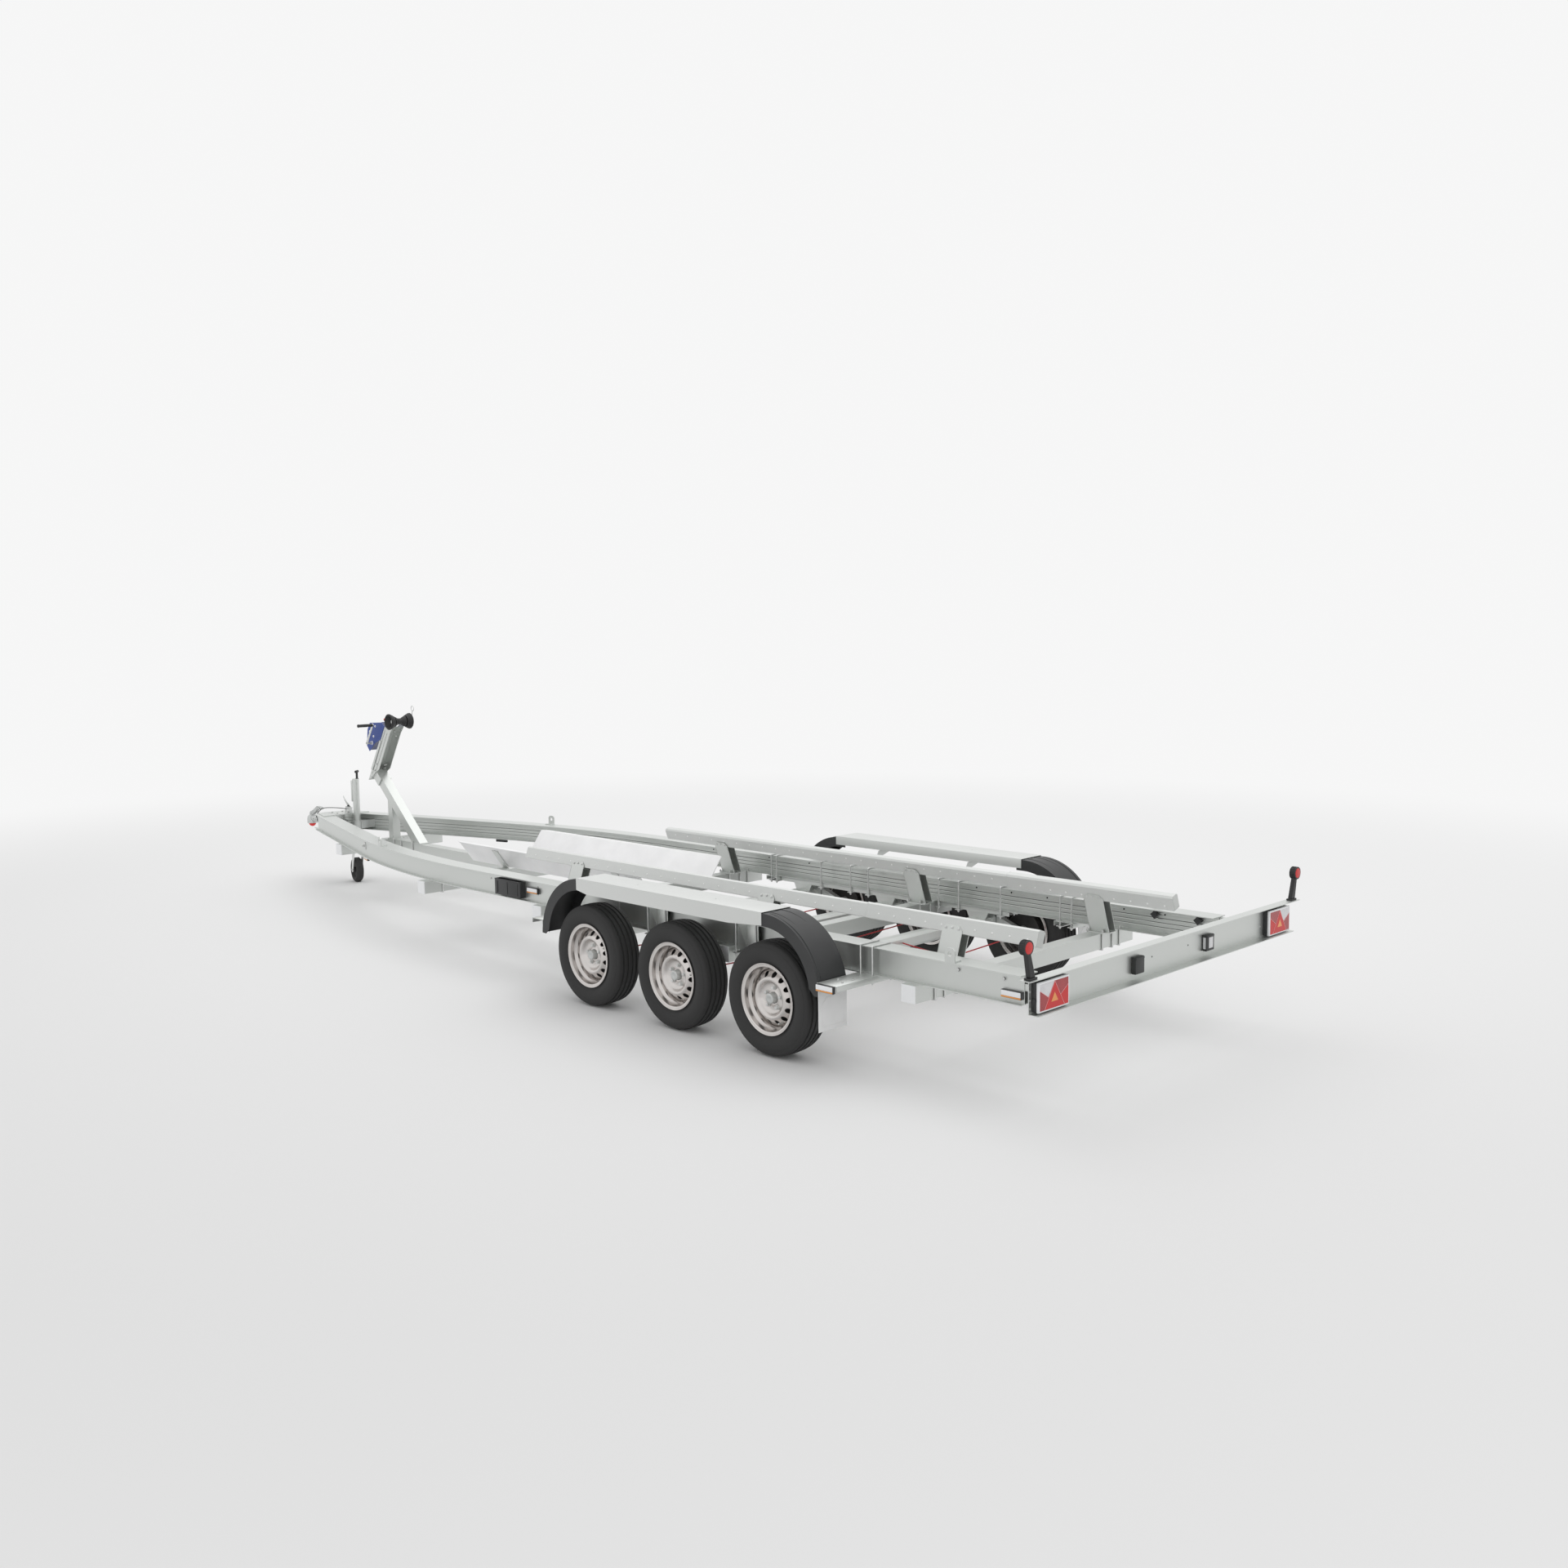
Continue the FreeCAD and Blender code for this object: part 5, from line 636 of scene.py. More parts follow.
class Shop:
    """Shapes given in millimetres from the rear axle, the centre line and the ground."""

    @staticmethod
    def at(x: float, y: float, z: float) -> Vector:
        """A point in the frame's metres."""
        return Vector((AXLE.x + x / MM, y / MM, z / MM))

    @staticmethod
    def slab(outline: Sequence[Pair], along: str, ends: Pair, bevel: float = 0) -> Piece:
        """A flat outline drawn out along an axis.

        Args:
            outline: Pairs of the two other coordinates, in the order x, y, z.
            along: The axis, "x", "y" or "z".
            ends: Where the slab begins and ends on that axis.
            bevel: Width of its rounded edges.

        Returns:
            The slab.
        """
        index = "xyz".index(along)
        corners = [Shop.at(*pair[:index], ends[0], *pair[index:]) for pair in outline]
        depth = Vector()
        depth[index] = (ends[1] - ends[0]) / MM
        piece = Bench.line("slab", corners, filled=True)
        with Bench.editing(piece):
            Bench.extrude(depth)
        return Bench.eased(Bench.tidy(piece), bevel / MM)

    @staticmethod
    def box(x: Pair, y: Pair, z: Pair, bevel: float = 0) -> Piece:
        """A block between limits, with rounded edges."""
        low, high = Shop.at(x[0], y[0], z[0]), Shop.at(x[1], y[1], z[1])
        Bench.clear()
        bpy.ops.mesh.primitive_cube_add(size=1, location=(low + high) / 2, scale=high - low)
        return Bench.eased(Bench.named("box"), bevel / MM)

    @staticmethod
    def rod(start: Triple, end: Triple, radius: float, sides: int = 28, bevel: float = 0) -> Piece:
        """A round or many-sided rod between two points."""
        return Bench.rod("rod", Shop.at(*start), Shop.at(*end), radius / MM, sides, bevel / MM)

    @staticmethod
    def bolt(foot: Triple, axis: Triple, *layers: tuple[float, float, int, float]) -> list[Piece]:
        """Rods one on top of the other, such as a washer and a bolt head.

        Args:
            foot: Where the first begins.
            axis: The direction in which they follow each other.
            layers: Height, radius, sides and bevel of each.

        Returns:
            The rods.
        """
        pieces = []
        for height, radius, sides, bevel in layers:
            top = tuple(low + height * step for low, step in zip(foot, axis))
            pieces.append(Shop.rod(foot, top, radius, sides, bevel))
            foot = top
        return pieces

    @staticmethod
    def turned(outline: Sequence[Pair], centre: Triple, axis: Triple, steps: int = 48) -> Piece:
        """A turned shape from (along, radius) pairs."""
        pairs = [(along / MM, radius / MM) for along, radius in outline]
        return Bench.lathe("turned", pairs, steps, axis=Vector(axis), centre=Shop.at(*centre))

    @staticmethod
    def arc(outline: Sequence[Pair], centre: Pair, start: float, sweep: float, direction: int,
            steps: int = 30) -> Piece:
        """A closed section of (y, radius) pairs swept about Y.

        Args:
            outline: The section.
            centre: The axis as (x, z).
            start: Angle past straight up at which it begins.
            sweep: Angle that it turns, in degrees.
            direction: 1 towards the nose, -1 towards the rear.
            steps: How many steps the turn has.

        Returns:
            The swept piece with closed ends.
        """
        angle = math.radians(start)
        begin = Vector((direction * math.sin(angle), 0, math.cos(angle)))
        pairs = [(y / MM, radius / MM) for y, radius in (*outline, outline[0])]
        piece = Bench.lathe("arc", pairs, steps, centre=Shop.at(centre[0], 0, centre[1]), start=begin,
                            sweep=-direction * math.radians(sweep))
        with Bench.editing(piece):
            bpy.ops.mesh.fill_holes(sides=0)
        return Bench.tidy(piece)

    @staticmethod
    def rounded(piece: Piece, width: float) -> Piece:
        """Rounds a piece's sharp edges."""
        return Bench.eased(piece, width / MM, limit_method="ANGLE", angle_limit=math.radians(50))

    @staticmethod
    def bored(piece: Piece, *cutters: Piece) -> Piece:
        """Cuts other pieces out of a piece."""
        cutter = Bench.join("cutter", cutters)
        Bench.modify(piece, "BOOLEAN", operation="DIFFERENCE", object=cutter, solver="EXACT")
        bpy.data.objects.remove(cutter)
        return Bench.tidy(piece, CRISP)

    @staticmethod
    def hose(points: Sequence[Triple], radius: float, rounded: bool = True) -> Piece:
        """A rod bent along the points, its corners rounded off or sharp."""
        Bench.pick(Bench.line("hose", [Shop.at(*point) for point in points]))
        bpy.ops.object.convert(target="CURVE")
        curve = bpy.context.active_object.data
        if rounded:
            spline = curve.splines[0]
            spline.type = "NURBS"
            spline.order_u = 3
            spline.use_endpoint_u = True
            spline.resolution_u = 8
        curve.bevel_depth = radius / MM
        curve.bevel_resolution = 3 if rounded else 2
        curve.use_fill_caps = True
        bpy.ops.object.convert(target="MESH")
        return Bench.tidy(Bench.named("hose"), 50)

    @staticmethod
    def turn(pieces: Sequence[Piece], centre: Triple, axis: str, degrees: float) -> list[Piece]:
        """Turns pieces about an axis through a point."""
        middle = Matrix.Translation(Shop.at(*centre))
        spin = middle @ Matrix.Rotation(math.radians(degrees), 4, axis) @ middle.inverted()
        for piece in pieces:
            piece.data.transform(spin)
        return list(pieces)

    @staticmethod
    def wreath(model: Piece, centre: Triple, axis: str, count: int) -> list[Piece]:
        """Copies of a model, evenly turned about an axis through a point. The model goes."""
        pieces = []
        for index in range(count):
            pieces += Shop.turn([Bench.twin(model, Matrix(), "copy")], centre, axis, 360 / count * index)
        bpy.data.objects.remove(model)
        return pieces

    @staticmethod
    def pair(name: str, pieces: Sequence[Piece]) -> Piece:
        """Pieces of the left side joined with their mirror images."""
        left = Bench.join(name, pieces)
        return Bench.join(name, [left, Bench.twin(left, Matrix.Scale(-1, 4, Y_AXIS), name)])


@dataclass
class Mudguards:
    """Folded mudguard plates, ribbed quarter guards, stays, end bars and flaps."""

    top: float = 789
    inner_y: float = 1037.5
    outer_y: float = 1257
    sheet: float = 3
    ends: Pair = (-4, 1606)
    radius: float = 392
    wall: float = 4
    lip: float = 69
    sweep: float = 88
    lap: float = 60
    rib: float = 3
    stays: Pair = (415, 1193)
    rear_bar: Pair = (-555.3, -417.3)
    front_bar: Pair = (1973.3, 2083.3)

    def build(self) -> None:
        """Models the left side's pieces and mirrors them."""
        mount(Shop.pair("folded_mudguards", self.plate()), GALVANISED_SHEET, "mudguard_plates")
        centre_z = self.top - self.sheet - 0.3 - self.rib - self.radius
        quarters = self.quarter((1581, centre_z), 1) + self.quarter((-25, centre_z), -1)
        mount(Shop.pair("ribbed_quarter_guards", quarters), BLACK_PLASTIC, "mudguard_quarters")
        stays = [piece for x in self.stays for piece in self.stay(x)]
        stays += self.end_bar(self.rear_bar, 1270) + self.end_bar(self.front_bar, 1250)
        mount(Shop.pair("guard_stays_and_bars", stays), GALVANISED, "mudguard_stays")
        screws = [Shop.rod((x, y, 484), (x, y, 488.5), 6.5, HEX, 1) for x, y in
                  ((-452, 1150), (-520, 1110), (-520, 1190), (2010, 1110), (2010, 1190))]
        mount(Shop.pair("bar_end_screws", screws), ZINC_BOLT)
        mount(Shop.pair("embossed_flaps", self.flap()), FLAP_SHEET, "mud_flaps")

    def plate(self) -> list[Piece]:
        """The left plate: a folded sheet with a deep outer skirt and sloped ends."""
        (rear, front), top, sheet = self.ends, self.top, self.sheet
        low, end = top - 90, top - 71
        outline = [(rear, top), (front, top), (front, end), (front - 105, low), (rear + 260, low), (rear, end)]
        return [Shop.box(self.ends, (self.inner_y, self.outer_y), (top - sheet, top), 1.4),
                Shop.box(self.ends, (self.inner_y, self.inner_y + sheet), (top - 60, top), 1),
                Shop.slab(outline, "y", (self.outer_y - sheet, self.outer_y), 1),
                *(Shop.rod((x, 1147, top), (x, 1147, top + 1.6), 5.5, 20, 0.8) for x in (470, 1150))]

    def quarter(self, centre: Pair, direction: int) -> list[Piece]:
        """A left quarter guard: a U section bent round the wheel, with ribs that fade and a bead."""
        inner, outer = self.inner_y + self.sheet + 0.3, self.outer_y - self.sheet - 0.3
        radius, wall, lip = self.radius, self.wall, self.lip
        section = [(inner, radius - lip), (inner, radius), (outer, radius), (outer, radius - lip),
                   (outer - wall, radius - lip), (outer - wall, radius - wall), (inner + wall, radius - wall),
                   (inner + wall, radius - lip)]
        bend = Shop.arc(section, centre, 0, self.sweep, direction, 44)
        low = centre[1] + radius * math.cos(math.radians(self.sweep))
        near = centre[0] + direction * (radius - lip - 1)
        far = near + direction * 32
        corner = Shop.slab([(near, low - 32), (far, low - 32), (far, low), (near, low + 32)], "y",
                           (inner - 1, outer + 1))
        bend = Shop.rounded(Shop.bored(bend, corner), 1.2)
        level = [(y, centre[1] + reach) for y, reach in section]
        ends = sorted((centre[0], centre[0] - direction * self.lap))
        pieces = [bend, Shop.rounded(Shop.slab(level, "x", ends), 1.2)]
        shift = direction * self.rib / math.sin(math.radians(30))
        for share in (0.3, 0.7):
            outline = self.rib_section(inner + share * (outer - inner), 13, radius + self.rib, 2 * self.rib, self.rib)
            pieces.append(Shop.arc(outline, (centre[0] - shift, centre[1]), 0, 30, direction, 16))
        sink = self.rib / (1 - math.cos(math.radians(35)))
        tilt = math.radians(42)
        bead_centre = (centre[0] + direction * sink * math.sin(tilt), centre[1] + sink * math.cos(tilt))
        outline = self.rib_section(outer - 22, 6, radius + self.rib - sink, wall, 1.5)
        pieces.append(Shop.arc(outline, bead_centre, 7, 70, direction))
        strip = [(outer - 30, radius + 0.1), (outer - 30, radius + 1.4), (outer - 27, radius + 1.4),
                 (outer - 27, radius + 0.1)]
        return pieces + [Shop.arc(strip, centre, 2, 84, direction)]

    @staticmethod
    def rib_section(middle: float, half: float, top: float, depth: float, flank: float) -> list[Pair]:
        """Section of a rib with sloping flanks, as (y, radius) pairs."""
        return [(middle - half, top - depth), (middle + half, top - depth), (middle + half, top - flank),
                (middle + half - flank, top), (middle - half + flank, top), (middle - half, top - flank)]

    def stay(self, x: float) -> list[Piece]:
        """A left stay: a plate on the beam, a web up to the mudguard and a flange under it."""
        inside, end = self.inner_y + 6, self.outer_y - 6
        top, skirt = self.top - 3.3, self.top - 63
        outline = [(971, 504), (971, 620), (self.inner_y - 10, skirt), (inside, skirt), (inside, top),
                   (end, top), (end, top - 40), (inside + 20, skirt - 40)]
        return [Shop.box((x - 95, x + 95), (966, 971), (484, 630), 1.2),
                Shop.slab(outline, "x", (x - 2.5, x + 2.5), 0.8),
                Shop.box((x - 20, x + 20), (inside, end), (top - 5, top), 1)]

    def end_bar(self, x: Pair, end: float) -> list[Piece]:
        """A left channel bar, open below, under the beam and out to an end of the mudguard."""
        return [Shop.box(x, (802, end), (484 - self.sheet, 484), 1),
                *(Shop.box((low, low + self.sheet), (802, end), (454, 484), 1) for low in (x[0], x[1] - self.sheet))]

    def flap(self) -> list[Piece]:
        """The left flap: a soft sheet with an embossed border and arch."""
        face = self.rear_bar[1] - 3.3
        back = face - 4
        border = [(1077, 246), (1244, 246), (1244, 362)]
        arch = [(1077, 246), (1077, 362), (1115, 398), (1206, 398), (1244, 362)]
        return [Shop.box((back, face), (1055, 1266), (222, 480.7), 1.5),
                *(Shop.hose([(back - 0.2, *point) for point in path], 1.2, rounded=False) for path in (border, arch))]


@dataclass
class Chassis:
    """Rails, U-bolts, painted shade in the beam's grooves and at its holes, bolt heads, cables and the chock holder."""

    beam_top: float = 630
    web: Pair = (898, 938)
    edge: float = 966
    bend_start: float = 3260
    bend_radius: float = 7410
    bend_degrees: float = 16
    ends: Pair = (-1453, 7056)
    bolt: float = 5
    grooves: tuple[Pair, ...] = ((519, 2.2), (545.3, 2.2), (571.6, 3.4))
    tubes: tuple[float, ...] = (-795, 575, 2385, 3825)
    holes: tuple[float, ...] = (-1116, -845, -302, -32, 242, 1180, 1740, 2150, 2760)
    cable: tuple[Triple, ...] = (
        (148, 60, 385), (-130, 60, 357.5), (-208, 60, 350), (-201, 130, 350), (-165, 530, 350), (-158, 600, 350),
        (-138, 668, 346), (-82, 856, 334.5), (-62, 924, 330.3), (-62, 990, 330.3), (-62, 1073.9, 330.3))
    breakaway: tuple[Triple, ...] = (
        (6902, -57, 668), (6902, -20, 676), (6930, 14, 682), (7060, 36, 676), (7160, 44, 664), (7240, 44, 622),
        (7290, 40, 590), (7312, 33, 562))

    def build(self) -> None:
        """Models each group and sets it on the frame."""
        mount(Shop.pair("rails", self.rails()), GALVANISED, "axle_rails")
        mount(Shop.pair("u_bolts", self.bolts()), ZINC_BOLT, "beam_clamps")
        # Dark strips in the inner web's grooves: painted shade.
        mount(Shop.pair("beam_groove_shade", [self.seam(*groove) for groove in self.grooves]), SEAM_SHADE)
        inner = self.web[0]
        # Dark discs at the inner web's holes: painted shade.
        holes = [Shop.rod((x, inner - 0.5, 596), (x, inner + 4, 596), 5.5, 20) for x in self.holes]
        mount(Shop.pair("beam_hole_shade", holes), HOLE_SHADE)
        mount(Shop.pair("web_nuts", self.web_nuts()), ZINC_BOLT)
        cables = [Shop.hose([(axle + x, y, z) for x, y, z in self.cable], 4) for axle in (0, 778, 1556)]
        mount(Shop.pair("brake_cables", cables), CABLE_RED)
        mount(Bench.join("breakaway_cable", [Shop.hose(self.breakaway, 3.6)]), BLACK_PLASTIC)
        mount(Shop.pair("chock_pocket", self.chock()), BLACK_PLASTIC, "chock_holder")
        mount(Bench.join("spine_bolts", self.spine_bolts()), ZINC_BOLT)
        mount(self.strap_fitting(), ZINC_BOLT)

    def rails(self) -> list[Piece]:
        """The left rail in two lengths, a channel open below."""
        return [Shop.box(x, y, (low, 484), 1) for x in ((-60, 518), (632, 1961))
                for y, low in (((836, 928), 479), ((836, 841), 455), ((923, 928), 455))]

    def u_bolt(self, x: float, bottom: float, outer: float) -> list[Piece]:
        """A U-bolt over the left beam, with the strap plate and nuts below it."""
        inner, out = 832 - self.bolt - 0.3, outer + self.bolt + 0.3
        top, low = self.beam_top + self.bolt, bottom - 20
        path = [(inner, low), (inner, top - 9), (inner, top), (inner + 9, top), (out - 9, top), (out, top),
                (out, top - 9), (out, low)]
        return [Shop.hose([(x, *point) for point in path], self.bolt),
                Shop.box((x - 20, x + 20), (inner - 12, out + 12), (bottom - 6, bottom), 1),
                *(Shop.rod((x, y, bottom - 13), (x, y, bottom - 6), 9, HEX, 1) for y in (inner, out))]

    def tube_bolt(self, x: float, y: float, seat: float) -> list[Piece]:
        """A U-bolt round a cross tube from below, with its nuts on a seat above."""
        reach, low, high = 50.3, 388.7, seat + 14
        path = [(-reach, high), (-reach, low + 8), (-reach, low), (8 - reach, low), (reach - 8, low), (reach, low),
                (reach, low + 8), (reach, high)]
        pieces = [Shop.hose([(x + across, y, z) for across, z in path], self.bolt)]
        for side in (-reach, reach):
            pieces += Shop.bolt((x + side, y, seat + 0.3), (0, 0, 1), (1.6, 10.5, 20, 0.4), (7.1, 8.5, HEX, 1))
        return pieces

    def bolts(self) -> list[Piece]:
        """Every U-bolt of the left side."""
        rows = [(x, 455, 966) for x in (0, 1556)] + [(x, 455, 971) for x in (333, 497, 1111, 1275)]
        rows += [(x, 454, 966) for x in (-527.3, -445.3, 2001.3, 2055.3)]
        pieces = [piece for row in rows for piece in self.u_bolt(*row)]
        rows = [(x, 852, 489) for x in self.tubes]
        rows += [(x, 723.3 + side, 492) for x in self.tubes[:3] for side in (-52.2, 52.2)]
        return pieces + [piece for row in rows for piece in self.tube_bolt(*row)]

    def spine_bolts(self) -> list[Piece]:
        """U-bolts round the spine under the winch post's foot plate."""
        path = [(-50.3, 500), (-50.3, 396), (-50.3, 388.7), (-42, 388.7), (42, 388.7), (50.3, 388.7), (50.3, 396),
                (50.3, 500)]
        pieces = []
        for x in (5560, 5750, 5870):
            pieces.append(Shop.hose([(x, *point) for point in path], self.bolt))
            pieces += [Shop.rod((x, y, 492.3), (x, y, 499.3), 8.5, HEX, 1) for y in (-50.3, 50.3)]
        return pieces

    def seam(self, z: float, height: float) -> Piece:
        """A strip of painted shade along one groove of the left beam's inner web."""
        offset, steps = 67.6, 16
        radius, centre = self.bend_radius - offset, self.edge - self.bend_radius
        points = [(x, self.edge - offset, z) for x in (self.ends[0], self.bend_start)]
        for index in range(1, steps + 1):
            angle = math.radians(self.bend_degrees) * index / steps
            points.append((self.bend_start + radius * math.sin(angle), centre + radius * math.cos(angle), z))
        x, y, _ = points[-1]
        points.append((self.ends[1], y - (self.ends[1] - x) * math.tan(math.radians(self.bend_degrees)), z))
        line = Bench.line("seam", [Shop.at(*point) for point in points])
        with Bench.editing(line):
            Bench.extrude(Vector((0, 0, height / MM)))
        return Bench.tidy(Bench.modify(line, "SOLIDIFY", thickness=0.0009, offset=0))

    def web_nuts(self) -> list[Piece]:
        """Nuts and bolt ends on the outer web: the light bar's, the rear ones and the step's."""
        outer, out = self.web[1], (0, 1, 0)
        nuts = [Shop.bolt((x, outer, 596), out, (2, 13, 24, 0.5), (7.6, 9, HEX, 1.2)) for x in (-1065, -1340)]
        nuts += [Shop.bolt((x, outer, z), out, (5, 6, HEX, 1)) for x, z in ((2460, 540), (2460, 590), (3010, 588))]
        return sum(nuts, [])

    def chock(self) -> list[Piece]:
        """The left chock pocket: an open box with a rolled rim and ribs on its face."""
        body = Shop.bored(Shop.box((2600, 2900), (938, 983), (500, 610), 4),
                          Shop.box((2604, 2896), (942, 979), (504, 612)))
        ribs = [Shop.box((low, low + 5), (982, 985.5), (512, 596), 1) for low in (2630, 2748, 2866)]
        return [body, *ribs, Shop.hose([(2602, 983, 608), (2898, 983, 608)], 2.6, rounded=False)]

    def strap_fitting(self) -> Piece:
        """A bent strap plate with its bolt on the left beam's outer web near the nose."""
        angle = math.radians(self.bend_degrees * 0.97)
        x = self.bend_start + (self.bend_radius - 28) * math.sin(angle)
        y = self.edge - self.bend_radius + (self.bend_radius - 28) * math.cos(angle)
        pieces = [Shop.box((x - 26, x + 26), (y, y + 5), (540, 596), 1.5)]
        pieces += Shop.bolt((x, y + 5, 568), (0, 1, 0), (11, 9, HEX, 1.4), (8, 5, 20, 0.8))
        pieces += Shop.bolt((x, y + 4.9, 568), (0, 1, 0), (1.7, 12, 24, 0.4))
        return Bench.join("strap_fitting", Shop.turn(pieces, (x, y, 568), "Z", -self.bend_degrees))


@dataclass
class Bunks:
    """Posts of the bunks, rivets along the bunks, end caps and the sleeve at their joint."""

    centre: Pair = (636.5, 736)
    tilt: float = 19
    half_width: float = 28
    half_height: float = 43
    tubes: tuple[float, ...] = (-795, 575, 2385)

    def build(self) -> None:
        """Models the left side's pieces and mirrors them."""
        posts = [piece for x in self.tubes for piece in self.post(x)]
        mount(Shop.pair("bunk_post_plates", posts), GALVANISED, "bunk_posts")
        screws = [piece for x in self.tubes for piece in self.screws(x)]
        mount(Shop.pair("bunk_post_screws", screws), ZINC_BOLT)
        mount(Shop.pair("bunk_rivets", self.rivets()), RIVET_WHITE)
        mount(Shop.pair("bunk_edges", self.edges()), GALVANISED_SHEET)

    def leaned(self, pieces: Sequence[Piece]) -> list[Piece]:
        """Pieces made upright, leaned to the hull's side."""
        return Shop.turn(pieces, (0, *self.centre), "X", self.tilt)

    def post(self, tube: float) -> list[Piece]:
        """A left post: two leaning plates, a web ahead of them and a foot on the cross tube."""
        low, high = tube - 85, tube + 45
        inner = self.half_width + 0.3
        outer = inner + 5
        y, z = self.centre
        top, bottom, corner = z - 7, 470, 24
        outline = [(low, bottom), (high, bottom), (high, top - corner), (high - corner, top), (low + corner, top),
                   (low, top - corner)]
        plates = [Shop.slab(outline, "y", (y + side, y + side + 5), 1) for side in (-outer, inner)]
        plates.append(Shop.box((high - 5, high), (y - outer, y + outer), (bottom, z - 43.3), 0.8))
        body = [Shop.bored(piece, Shop.box((low - 10, high + 10), (500, 938), (300, 484)))
                for piece in self.leaned(plates)]
        foot = [(low, 682), (low + corner, 658.1), (tube + 38, 658.1), (tube + 62.3, 682), (tube + 62.3, 764),
                (tube + 38, 788.5), (low + corner, 788.5), (low, 764)]
        return [*body, Shop.slab(foot, "z", (484, 492), 1.4)]

    def screws(self, tube: float) -> list[Piece]:
        """Three screws through the plates at the post's top."""
        y, z = self.centre
        reach = self.half_width + 5.3
        pieces = []
        for x, height in ((tube - 62, -22), (tube - 20, -18), (tube + 22, -22)):
            for side in (-1, 1):
                pieces += Shop.bolt((x, y + side * reach, z + height), (0, side, 0), (1.6, 9, 20, 0.4),
                                    (4.9, 6.5, HEX, 1))
        return self.leaned(pieces)

    def rivets(self) -> list[Piece]:
        """White rivets along both sides of both bunks."""
        rear = [-305 - 108.2 * index for index in range(10)]
        front = [-231 + 134.6 * index for index in range(24)]
        y, z = self.centre
        head = [(0, 5.6), (1.4, 5.2), (2.6, 3.4), (3.1, 0)]
        pieces = []
        for places, half, inner_height in ((rear, self.half_width, -18), (front, self.half_width - 2.9, 3)):
            for side, height in ((-1, inner_height), (1, -14)):
                model = Shop.turned(head, (0, y + side * half, z + height), (0, side, 0), 12)
                pieces.append(Bench.array("rivets", model, [Matrix.Translation((x / MM, 0, 0)) for x in places]))
        return self.leaned(pieces)

    def edges(self) -> list[Piece]:
        """The rear bunk's end lip at the joint and the cap at its rear end."""
        y, z = self.centre
        half, rise = self.half_width, self.half_height
        outline = [(y - half - 0.8, z - rise), (y + half + 0.8, z - rise), (y + half + 0.8, z + rise - 9),
                   (y + half - 9, z + rise + 0.8), (y - half + 9, z + rise + 0.8), (y - half - 0.8, z + rise - 9)]
        inset = [(y - half + 3.4, z - rise + 3), (y + half - 3.4, z - rise + 3), (y + half - 3.4, z + rise - 11),
                 (y + half - 11, z + rise - 3.4), (y - half + 11, z + rise - 3.4), (y - half + 3.4, z + rise - 11)]
        collar = Shop.bored(Shop.slab(outline, "x", (-216, -209), 0.6), Shop.slab(inset, "x", (-220, -205)))
        return self.leaned([collar, Shop.slab(inset, "x", (-1336.6, -1332), 0.8)])


